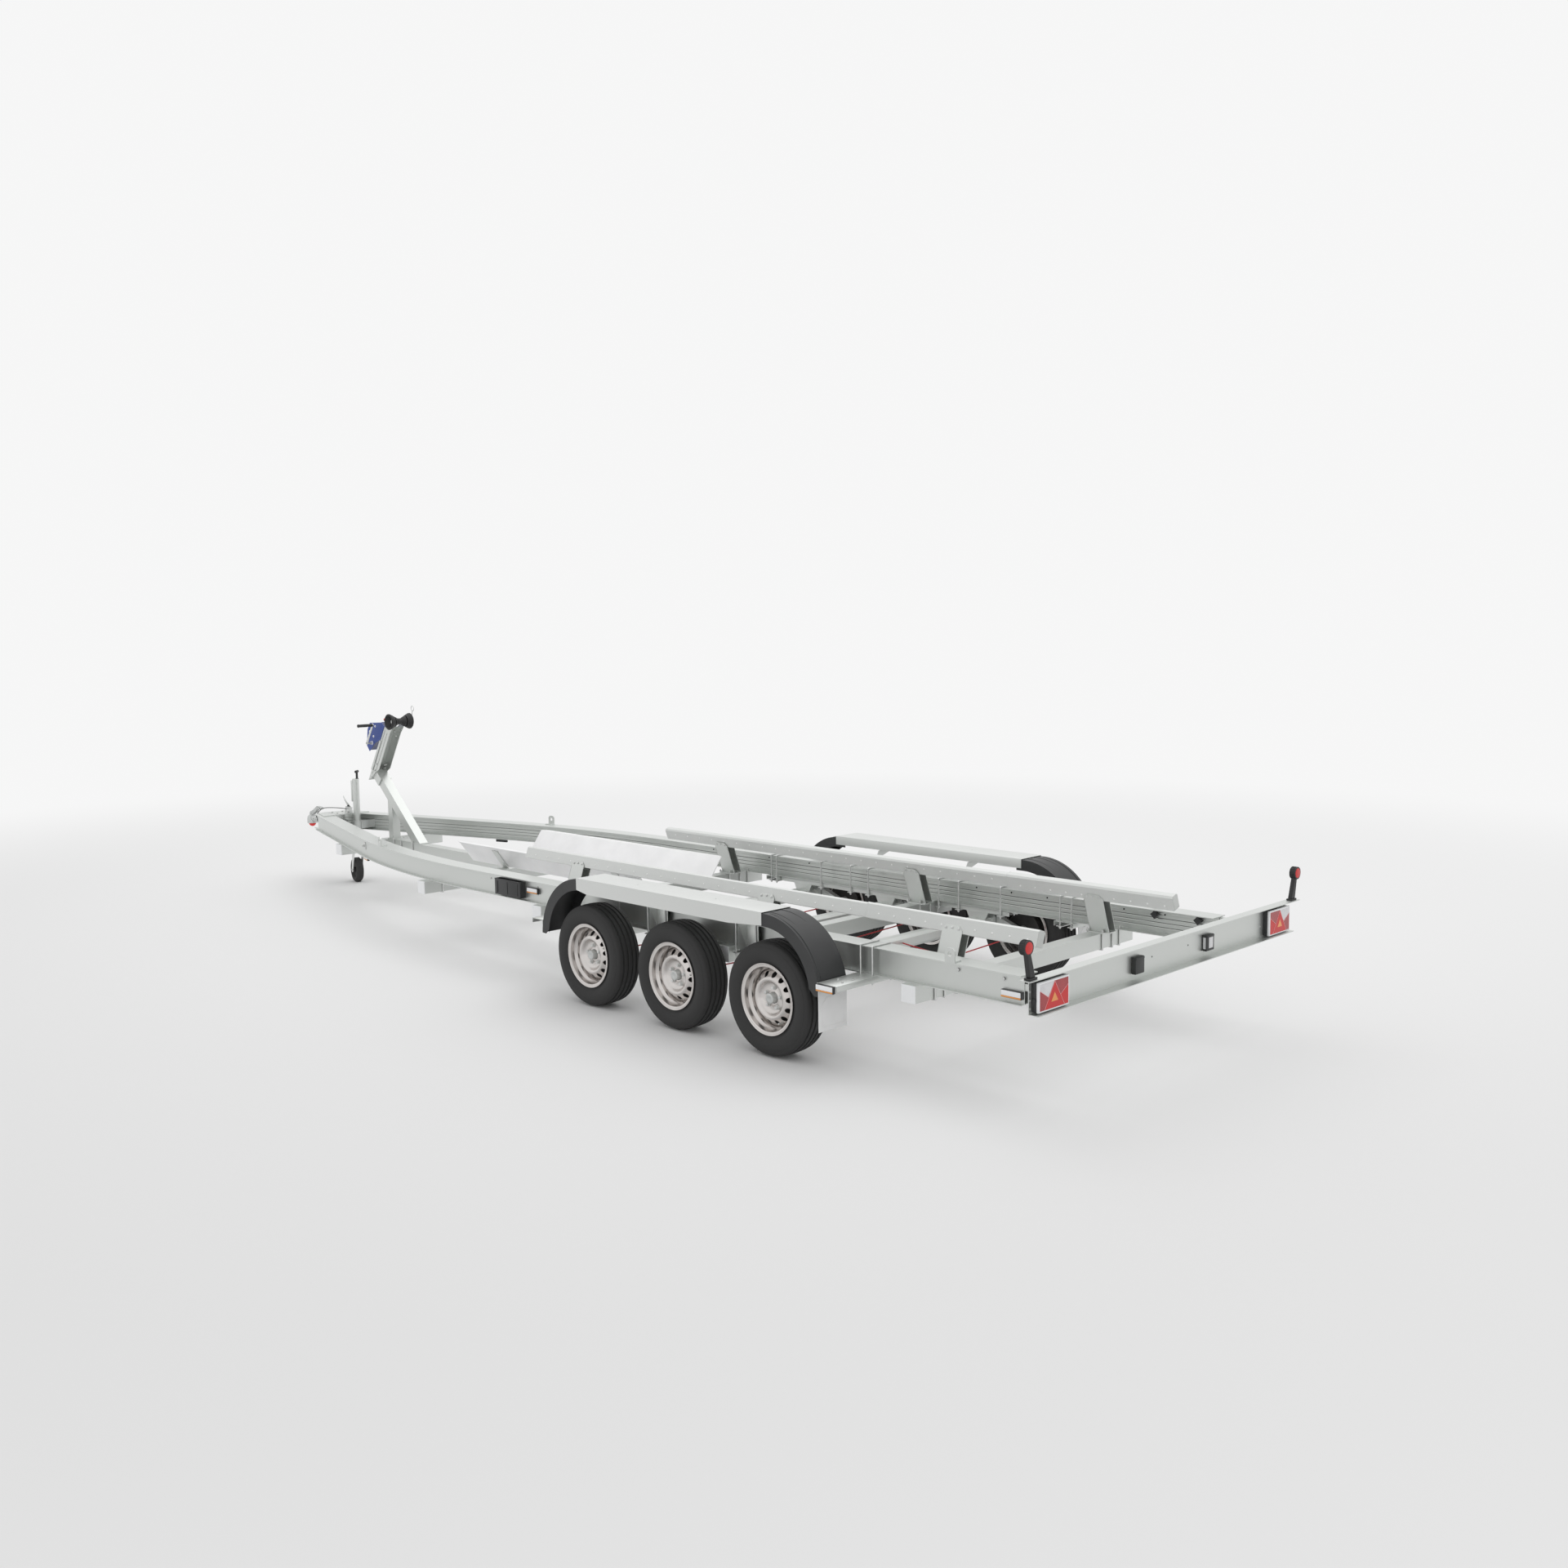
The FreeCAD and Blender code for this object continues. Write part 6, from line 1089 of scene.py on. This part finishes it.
@dataclass
class Lights:
    """Tail lamps, outline lamps, number-plate lamps and side markers."""

    face_y: Pair = (969, 1195)
    face_z: Pair = (551, 677)
    face_x: float = -1722.5
    head: Pair = (1280, 857)
    head_radius: float = 35.4

    def build(self) -> None:
        """Models the left lamps and mirrors them; the plate lamps differ from side to side."""
        mount(Shop.pair("tail_lamp_units", self.tail_lamp()), None, "tail_lamps", "tail_lenses", body="light_bar")
        plates = [self.plate_lamp(1, False), self.plate_lamp(-1, True)]
        outline = Shop.pair("outline_lamps", self.outline_lamp())
        mount(Bench.join("bar_lamp_units", [outline, *plates]), None, "bar_lamps", body="light_bar")
        markers = []
        for place in ((-1391, 938, 510), (2500, 938, 544), (-486.3, 1270, 446)):
            markers += self.marker(*place)
        markers += Shop.turn(self.marker(5250, 640, 446), (5250, 640, 446), "Z", -15.4)
        mount(Shop.pair("side_marker_units", markers), None, "side_markers")
        screws = [Shop.rod((-1686, y, z), (-1683.6, y, z), 5, 16, 0.8)
                  for y, z in ((1212, 562), (1212, 600), (1212, 640), (930, 600))]
        mount(Shop.pair("bar_screws", screws), ZINC_BOLT, body="light_bar")
        # Dark discs at the light bar's holes: painted shade.
        holes = [Shop.rod((-1684.6, y, 625), (-1682, y, 625), 4, 16) for y in (190, -158)]
        mount(Bench.join("bar_hole_shade", holes), HOLE_SHADE, body="light_bar")

    def spot_on_face(self, across: float, up: float) -> Pair:
        """A place on the tail lamp's face, from its outer edge inwards and from its foot up."""
        low, high = self.face_y
        return high - across * (high - low), self.face_z[0] + up * (self.face_z[1] - self.face_z[0])

    def tail_lamp(self) -> list[Piece]:
        """The left tail lamp: black housing, white frame, the lens in its fields, their lines and the plug."""
        apex, left, right = (0.51, 0.985), (0.165, 0.012), (0.855, 0.012)
        fork, bend = (0.3, 0.443), (0.717, 0.427)
        outer, inner = (0.012, 0.746), (0.988, 0.736)
        fields = (([(0.012, 0.985), apex, fork, outer], 0.6, CLEAR_LENS),
                  ([outer, fork, left, (0.012, 0.012)], 0.8, RED_LENS_DEEP),
                  ([apex, bend, right, left, fork], 1.2, RED_LENS),
                  ([apex, (0.988, 0.985), inner, bend], 0.8, RED_LENS_DEEP),
                  ([inner, (0.988, 0.012), right, bend], 0.8, RED_LENS),
                  ([(0.507, 0.583), (0.39, 0.25), (0.628, 0.25)], 2.2, AMBER_LENS))
        pieces = [dress(Shop.box((-1711, -1684), (963, 1201), (545, 683), 5), BLACK_PLASTIC),
                  dress(Shop.box((-1722.5, -1709), (962, 1202), (544, 684), 4), WHITE_PLASTIC)]
        for shares, depth, finish in fields:
            outline = [self.spot_on_face(*share) for share in shares]
            pieces.append(dress(Shop.slab(outline, "x", (self.face_x - depth, self.face_x + 3), 0.5), finish))
        for ends in ((apex, left), (apex, right), (inner, bend), (outer, fork)):
            line = Shop.hose([(self.face_x - 1, *self.spot_on_face(*end)) for end in ends], 1.3, rounded=False)
            pieces.append(dress(line, LINE_WHITE))
        return [*pieces, dress(Shop.rod((-1700, 1201, 600), (-1700, 1207, 600), 9, 20, 1), BLACK_PLASTIC)]

    def outline_lamp(self) -> list[Piece]:
        """The left outline lamp: a foot, a leaning ribbed arm and a round head with two lenses."""
        x, foot, (y, z), radius = -1709, 1244, self.head, self.head_radius
        arm = [(foot - 22, 716), (foot + 22, 716), (y + 12, z), (y - 14, z)]
        body = [(-17, 0), (-17, 29), (-17, radius - 1), (-15, radius), (-12, radius), (-11, radius - 2),
                (11, radius - 2), (12, radius), (15, radius), (17, radius - 1), (17, 29), (17, 0)]
        rib = Shop.box((x - 16, x + 16), (y - 1, y + 1), (z + radius - 2.5, z + radius), 0.4)
        pieces = [Shop.box((x - 17, x + 17), (foot - 30, foot + 30), (707, 717), 3),
                  Shop.slab(arm, "x", (x - 12, x + 12), 5),
                  Shop.turned(body, (x, y, z), (1, 0, 0)),
                  Bench.join("ribs", Shop.wreath(rib, (x, y, z), "X", 24))]
        dome = [(16.8, 28), (18.8, 26), (20.4, 16), (21, 0)]
        lenses = [dress(Shop.turned(dome, (x, y, z), (side, 0, 0), 40), lens)
                  for side, lens in ((-1, RED_LENS), (1, CLEAR_LENS))]
        return [*(dress(piece, SOFT_RUBBER) for piece in pieces), *lenses]

    def plate_lamp(self, side: int, window: bool) -> Piece:
        """One number-plate lamp, its lens towards the plate."""
        low, high = sorted((side * 300, side * 380))
        near = sorted((side * 299.4, side * 299.4 + side * 3))
        pieces = [dress(Shop.box((-1710, -1684), (low, high), (570, 655), 4), BLACK_PLASTIC),
                  dress(Shop.box((-1705, -1690), near, (582, 643), 1), CLEAR_LENS)]
        if window:
            pieces.append(dress(Shop.box((-1711, -1708), (low + 14, high - 24), (584, 641), 1), CLEAR_LENS))
        rim = dress(Shop.box((-1712, -1709), (low + 3, high - 3), (643, 652), 1), BLACK_PLASTIC)
        return Bench.join("plate_lamp", [*pieces, rim])

    def marker(self, x: float, y: float, z: float) -> list[Piece]:
        """A side marker: black holder, white reflector and an orange strip at its foot."""
        return [dress(Shop.box((x - 60, x + 60), (y, y + 19), (z, z + 38), 3), BLACK_PLASTIC),
                dress(Shop.box((x - 56, x + 57), (y + 17, y + 21.6), (z + 10.5, z + 35.5), 1.5), WHITE_PLASTIC),
                dress(Shop.box((x - 56, x + 57), (y + 17, y + 22), (z + 2.5, z + 10), 1.2), MARKER_ORANGE)]


@dataclass
class WinchStand:
    """The winch with its crank and cover, and the fittings of its bracket and the bow roller."""

    head: Pair = (6150, 1050)
    lean: float = 33
    shaft: Pair = (6150, 1322)
    crank_length: float = 198
    crank_lean: float = 35
    roller: Pair = (5780, 1520)
    teeth: int = 18

    def build(self) -> None:
        """Models the winch and the bracket's fittings."""
        mount(self.housing(), None, "winch_housing")
        mount(self.crank(), ZINC_BOLT, "winch_crank")
        mount(self.grips(), SOFT_RUBBER, "hand_grips")
        mount(self.knob(), ORANGE_PLASTIC, "ratchet_knob")
        mount(self.front_plate(), GALVANISED)
        mount(self.bracket_details(), None)
        mount(self.roller_details(), SOFT_RUBBER, body="bow_roller")

    def leaned(self, name: str, pieces: Sequence[Piece]) -> Piece:
        """Pieces made upright, leaned with the bracket and joined."""
        return Bench.join(name, Shop.turn(pieces, (self.head[0], 0, self.head[1]), "Y", -self.lean))

    def on_bracket(self, x: float, z: float) -> Pair:
        """A place of the bracket's own frame, across and along it, in the trailer's X and Z."""
        angle = math.radians(self.lean)
        return (self.head[0] + x * math.cos(angle) - z * math.sin(angle),
                self.head[1] + x * math.sin(angle) + z * math.cos(angle))

    def housing(self) -> Piece:
        """Two blue side plates, the cover between them, and their bolts."""
        outline = [self.on_bracket(50, 330), (6104, 1321), (6202, 1245), (6247, 1296), (6234, 1371), (6222, 1440),
                   (6179, 1497), (5979, 1507), self.on_bracket(50, 472)]
        middle = [sum(values) / len(outline) for values in zip(*outline)]
        inset = [tuple(centre + (value - centre) * 0.93 for value, centre in zip(point, middle)) for point in outline]
        pieces = [dress(Shop.slab(outline, "y", (side, side + 4), 1.2), BLUE_PAINT) for side in (-60, 56)]
        pieces.append(dress(Shop.slab(inset, "y", (-56, 56), 3), BLUE_DEEP))
        for x, z, radius in ((*self.shaft, 13), (6178, 1420, 10), (6085, 1470, 7), (6120, 1380, 7)):
            for side in (-1, 1):
                for layer in ((6, radius, HEX, 1.2), (1.8, radius + 4, 24, 0.5)):
                    pieces += [dress(piece, RIVET_WHITE) for piece in Shop.bolt((x, side * 60, z), (0, side, 0), layer)]
        return Bench.join("winch_body", pieces)

    def crank(self) -> Piece:
        """The cranked arm from the shaft's nut out to the grip."""
        (x, z), (grip_x, grip_z), half = self.shaft, self.grip_place(), 12
        along, up = (grip_x - x) / self.crank_length, (grip_z - z) / self.crank_length
        outline = [(x - along * half - up * half, z - up * half + along * half),
                   (grip_x + along * half - up * half, grip_z + up * half + along * half),
                   (grip_x + along * half + up * half, grip_z + up * half - along * half),
                   (x - along * half + up * half, z - up * half - along * half)]
        return Bench.join("crank_arm", [Shop.rod((x, 60.3, z), (x, 114.3, z), 9, 24, 1),
                                        Shop.rod((x, 66, z), (x, 76, z), 14, HEX, 1.5),
                                        Shop.slab(outline, "y", (108.3, 114.3), 2),
                                        Shop.rod((grip_x, 114.3, grip_z), (grip_x, 118, grip_z), 8, 24, 1)])

    def grip_place(self) -> Pair:
        """Place of the crank's grip in X and Z."""
        angle = math.radians(self.crank_lean)
        return (self.shaft[0] - self.crank_length * math.sin(angle),
                self.shaft[1] + self.crank_length * math.cos(angle))

    def grips(self) -> Piece:
        """The crank's waisted grip and the banded sleeve of the handbrake lever."""
        x, z = self.grip_place()
        outline = [(0, 0), (0, 12), (3, 14), (14, 14), (20, 12.4), (70, 13.4), (120, 12.4), (130, 14), (137, 14),
                   (140, 11), (140, 0)]
        grip = Shop.turned(outline, (x, 114.3, z), (0, 1, 0), 36)
        starts = [656 + 5.2 * index for index in range(12)]
        bands = [Shop.box((6813.8, 6850.2), (-80.2, -60), (start, start + 2.4), 1) for start in starts]
        sleeve = Shop.box((6815, 6849), (-79, -61), (656, 718), 5)
        return Bench.join("grip_sleeves", [grip, *Shop.turn([sleeve, *bands], (6832, 0, 638), "Y", 41.5)])

    def knob(self) -> Piece:
        """The ratchet's knob with its fluted rim."""
        outline = [(0, 0), (0, 14), (8, 14), (10, 19), (12, 20), (28, 20), (31, 17), (32, 10), (32, 0)]
        cap = Shop.turned(outline, (6035, -20, 1505.6), (0, 0, 1), 40)
        flute = Shop.rod((6053.6, -20, 1519), (6053.6, -20, 1533), 2.2, 10, 0.6)
        return Bench.join("ratchet_cap", [cap, *Shop.wreath(flute, (6035, -20, 0), "Z", 14)])

    def front_plate(self) -> Piece:
        """The mounting plate ahead of the bracket, with a rounded lower end."""
        slots = [Shop.box((6190, 6215), (-5, 5), (low, low + 40)) for low in (1090, 1180)]
        return self.leaned("winch_mounting_plate", [
            Shop.bored(Shop.box((6200.2, 6206), (-44, 44), (1010, 1372), 1), *slots),
            Shop.rod((6200.2, 0, 1010), (6206, 0, 1010), 44, 48, 1),
            *(Shop.box((6180, 6206), (low, low + 4), (1060, 1372), 1) for low in (56.4, -60.4)),
            Shop.box((6202, 6206), (-60, 60), (1060, 1372), 1)])

    def bracket_details(self) -> Piece:
        """Strips of painted shade along the bracket's cheeks where they have grooves, white screws inside it, discs of
        painted shade at the cheeks' holes and bolts through the post's head.
        """
        x, z = self.head
        # Dark strips on the cheeks: painted shade in their grooves.
        pieces = [dress(Shop.box((x + across, x + across + 3), sorted((side * 55.6, side * 56.7)), (1030, 1500), 0.3),
                        SEAM_SHADE) for across in (-18, 22) for side in (-1, 1)]
        for across, along in ((35, 20), (35, 60), (15, 40), (15, 80), (-4, 400), (34, 420)):
            for side in (-1, 1):
                screw = Shop.rod((x + across, side * 51, z + along), (x + across, side * 46, z + along), 6, 16, 1.2)
                pieces.append(dress(screw, RIVET_WHITE))
        for along in (-40, 40, 110):
            for side in (-1, 1):
                # Dark disc on the cheek, at its holes: painted shade.
                hole_shade = Shop.rod((6146, side * 55.6, z + along), (6146, side * 56.6, z + along), 5, 16)
                bolt = Shop.rod((6168, side * 56, 1030 + along), (6168, side * 62, 1030 + along), 8, HEX, 1.2)
                pieces += [dress(hole_shade, HOLE_SHADE), dress(bolt, ZINC_BOLT)]
        return self.leaned("bracket_fittings", pieces)

    def roller_details(self) -> Piece:
        """The toothed inner rims of the roller's bells and the step band outside."""
        x, z = self.roller
        tooth = Shop.box((x - 2.5, x + 2.5), (70, 100), (z + 50, z + 58.5), 1)
        pieces = []
        for side in (1, -1):
            copy = Bench.twin(tooth, Matrix.Scale(side, 4, Y_AXIS), "tooth")
            pieces += Shop.wreath(copy, (x, 0, z), "Y", self.teeth)
        bpy.data.objects.remove(tooth)
        band = [(0, 66), (2, 67.9), (9, 67.9), (11, 66)]
        bands = [Shop.turned(band, (x, side * 92, z), (0, side, 0), 60) for side in (1, -1)]
        return Bench.join("roller_rims", pieces + bands)


@dataclass
class Nose:
    """The coupling, handbrake, gussets and jockey fittings at the trailer's nose."""

    ball: Pair = (7458, 497)
    draw_z: float = 545
    brake_foot: Pair = (6832, 638)
    brake_lean: float = 41.5

    def build(self) -> None:
        """Models each piece and sets it on its body."""
        mount(self.head(), CAST_ZINC, "coupling_head")
        mount(self.handle(), CAST_ZINC, "coupling_handle")
        mount(self.soft_ball(), RED_PLASTIC, "soft_ball")
        mount(self.bellows(), SOFT_RUBBER, "gaiter")
        mount(self.lever(), ZINC_BOLT, "handbrake_lever")
        outline = [(6970, 484), (7230, 484), (7060, 430), (6970, 430)]
        cheek = [Shop.slab(outline, "y", (94, 100), 1.2),
                 *(Shop.rod((x, 100, 462), (x, 106, 462), 8, HEX, 1.2) for x in (7000, 7060))]
        mount(Shop.pair("nose_cheeks", cheek), GALVANISED)
        bolts = [Shop.bolt((x, y, 638), (0, 0, 1), (2, 12, 24, 0.4), (8, 9, HEX, 1.4))
                 for x in (6865, 6960) for y in (-52, 52)]
        mount(Bench.join("nose_plate_bolts", sum(bolts, [])), ZINC_BOLT)
        rib = Shop.rod((6723, -35, 752), (6723, -35, 945), 12, 28, 2)
        cap = Shop.turned([(0, 30.6), (10, 30.6), (14, 28), (16, 20), (16, 0)], (6700, -58, 946), (0, 0, 1), 40)
        mount(Bench.join("jockey_head", [rib, cap]), GALVANISED, body="jockey_tube")
        mount(self.jockey_handle(), BLACK_PLASTIC, "jockey_knob", body="jockey_tube")
        toggle = [Shop.rod((6746, -58, 539), (6770, -58, 539), 7, 20, 1),
                  Shop.rod((6764, -58, 506), (6764, -58, 572), 4.5, 20, 1.2)]
        mount(Bench.join("clamp_toggle", toggle), ZINC_BOLT)

    def head(self) -> Piece:
        """The pressed head: neck, cup over the ball and the folded nose."""
        (x, z), axis = self.ball, self.draw_z
        cup = Shop.turned([(0, 34), (0, 46), (40, 46), (62, 42), (76, 30), (81, 0)], (x, 0, z), (0, 0, 1))
        rods = [Shop.rod((start, 0, axis), (end, 0, axis), *form) for start, end, form in (
            (7290.3, x - 20, (33, 40, 3)), (7290.3, 7322, (38, 40, 3)), (6860, 7300, (25, 32)))]
        nose = Shop.slab([(x, z), (7502, z + 12), (7508, z + 24), (7494, z + 60), (x + 20, z + 80)], "y", (-26, 26), 6)
        bolts = [Shop.rod((at, -40.5, axis), (at, 40.5, axis), 8, HEX, 1.4) for at in (7330, 7372)]
        return Bench.join("coupling_cup", [cup, *rods, nose, *bolts])

    def handle(self) -> Piece:
        """The cranked handle: two bent cheeks with a grip across their ends."""
        x, top = self.ball[0], 578.3
        outline = [(x - 28, top), (x + 22, top), (x + 12, top + 24), (x - 52, top + 48), (x - 128, top + 88),
                   (x - 194, top + 82), (x - 196, top + 60), (x - 134, top + 62), (x - 92, top + 28)]
        saddle = [(x - 128, top + 84), (x - 190, top + 78), (x - 190, top + 82), (x - 128, top + 88)]
        return Bench.join("coupling_lever", [
            *(Shop.slab(outline, "y", (low, low + 5), 1.2) for low in (-17, 12)),
            Shop.slab(saddle, "y", (-17, 17), 1),
            Shop.rod((x - 8, -24, top + 10), (x - 8, 24, top + 10), 7, 20, 1.2),
            Shop.rod((x - 190, -17, top + 71), (x - 190, 17, top + 71), 8, 20, 2)])

    def soft_ball(self) -> Piece:
        """The soft parking ball with its seam ring."""
        centre = (self.ball[0], 0, self.ball[1])
        arc = [(-33 * math.cos(math.pi * index / 14), 33 * math.sin(math.pi * index / 14)) for index in range(15)]
        return Bench.join("parking_ball", [Shop.turned(outline, centre, (0, 0, 1), 40)
                                           for outline in (arc, [(-1.2, 32.8), (0, 33.6), (1.2, 32.8)])])

    def bellows(self) -> Piece:
        """The rubber bellows over the draw tube."""
        outline = [(0, 25.3), (0, 36), (5, 38)]
        pitch = 126 / 8
        for index in range(8):
            start = 7 + index * pitch
            outline += [(start + pitch * share, radius)
                        for share, radius in ((0, 33), (0.35, 39), (0.6, 40), (0.85, 39), (1, 33))]
        outline += [(134, 33), (136, 38), (139.7, 37), (139.7, 25.3)]
        return Bench.join("bellows", [Shop.turned(outline, (7150.3, 0, self.draw_z), (1, 0, 0), 44)])

    def lever(self) -> Piece:
        """The handbrake lever with its quadrant, teeth and spring rod."""
        x, z = self.brake_foot
        quadrant = Shop.slab([(6786, 638), (6930, 638), (6914, 688), (6802, 688)], "y", (-66, -58), 1.5)
        bar = Shop.slab([(6821, 649), (6843, 649), (6841, 823), (6823, 823)], "y", (-74, -66), 2)
        button = Shop.rod((x, -70, 820), (x, -70, 832), 5, 20, 1.4)
        leaned = Shop.turn([bar, button], (x, 0, z), "Y", self.brake_lean)
        teeth = [Shop.box((6812 + 9 * index, 6817 + 9 * index), (-66, -58), (687, 692), 1) for index in range(11)]
        angle = math.radians(self.brake_lean)
        hold = (x + 155 * math.sin(angle), -66, z + 155 * math.cos(angle))
        spring = Shop.rod((6802, -66, 683), hold, 5, 20, 0.8)
        coil = []
        for index in range(1, 9):
            along, down = hold[0] - 10 * index * 0.84, hold[2] - 10 * index * 0.53
            coil.append(Shop.rod((along, -66, down), (along - 4, -66, down - 2.6), 7.2, 16, 1))
        pivot = Shop.rod((x, -80, 650), (x, -56, 650), 9, HEX, 1.4)
        return Bench.join("brake_lever", [quadrant, *leaned, *teeth, spring, *coil, pivot])

    def jockey_handle(self) -> Piece:
        """The jockey wheel's winding handle: a stem and a knobbed bar."""
        stem = Shop.turned([(0, 14), (4, 14), (8, 10), (50, 10), (60, 12), (60, 0)], (6690, -68, 960), (0, 0, 1), 28)
        bar = Shop.turned([(-31, 0), (-31, 9), (-27, 12.5), (-16, 12.5), (-10, 9.5), (10, 9.5), (16, 12.5), (27, 12.5),
                           (31, 9), (31, 0)], (6690, -68, 1026), (0.70710678, -0.70710678, 0), 28)
        return Bench.join("winding_handle", [stem, bar])


def dress_nodes() -> None:
    """Gives every CAD node its finish."""
    rows = [(name, finish) for finish, names in NODE_FINISHES.items() for name in names.split()]
    rows += [(name, TYRE_RUBBER if name.startswith("tyre_") else RIM_SILVER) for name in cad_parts
             if name.startswith(("tyre_", "wheel_rim_"))]
    for name, finish in rows:
        dress(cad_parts[name], finish)


def main() -> None:
    """Builds the studio and each sub-assembly in order."""
    logging.basicConfig(level=logging.INFO, format="%(message)s")
    Studio().build()
    dress_nodes()
    for assembly in (RoadWheels(), Chassis(), Mudguards(), Bunks(), Lights(), WinchStand(), Nose()):
        assembly.build()
        LOG.info("%s done", type(assembly).__name__)


if __name__ == "__main__":
    main()
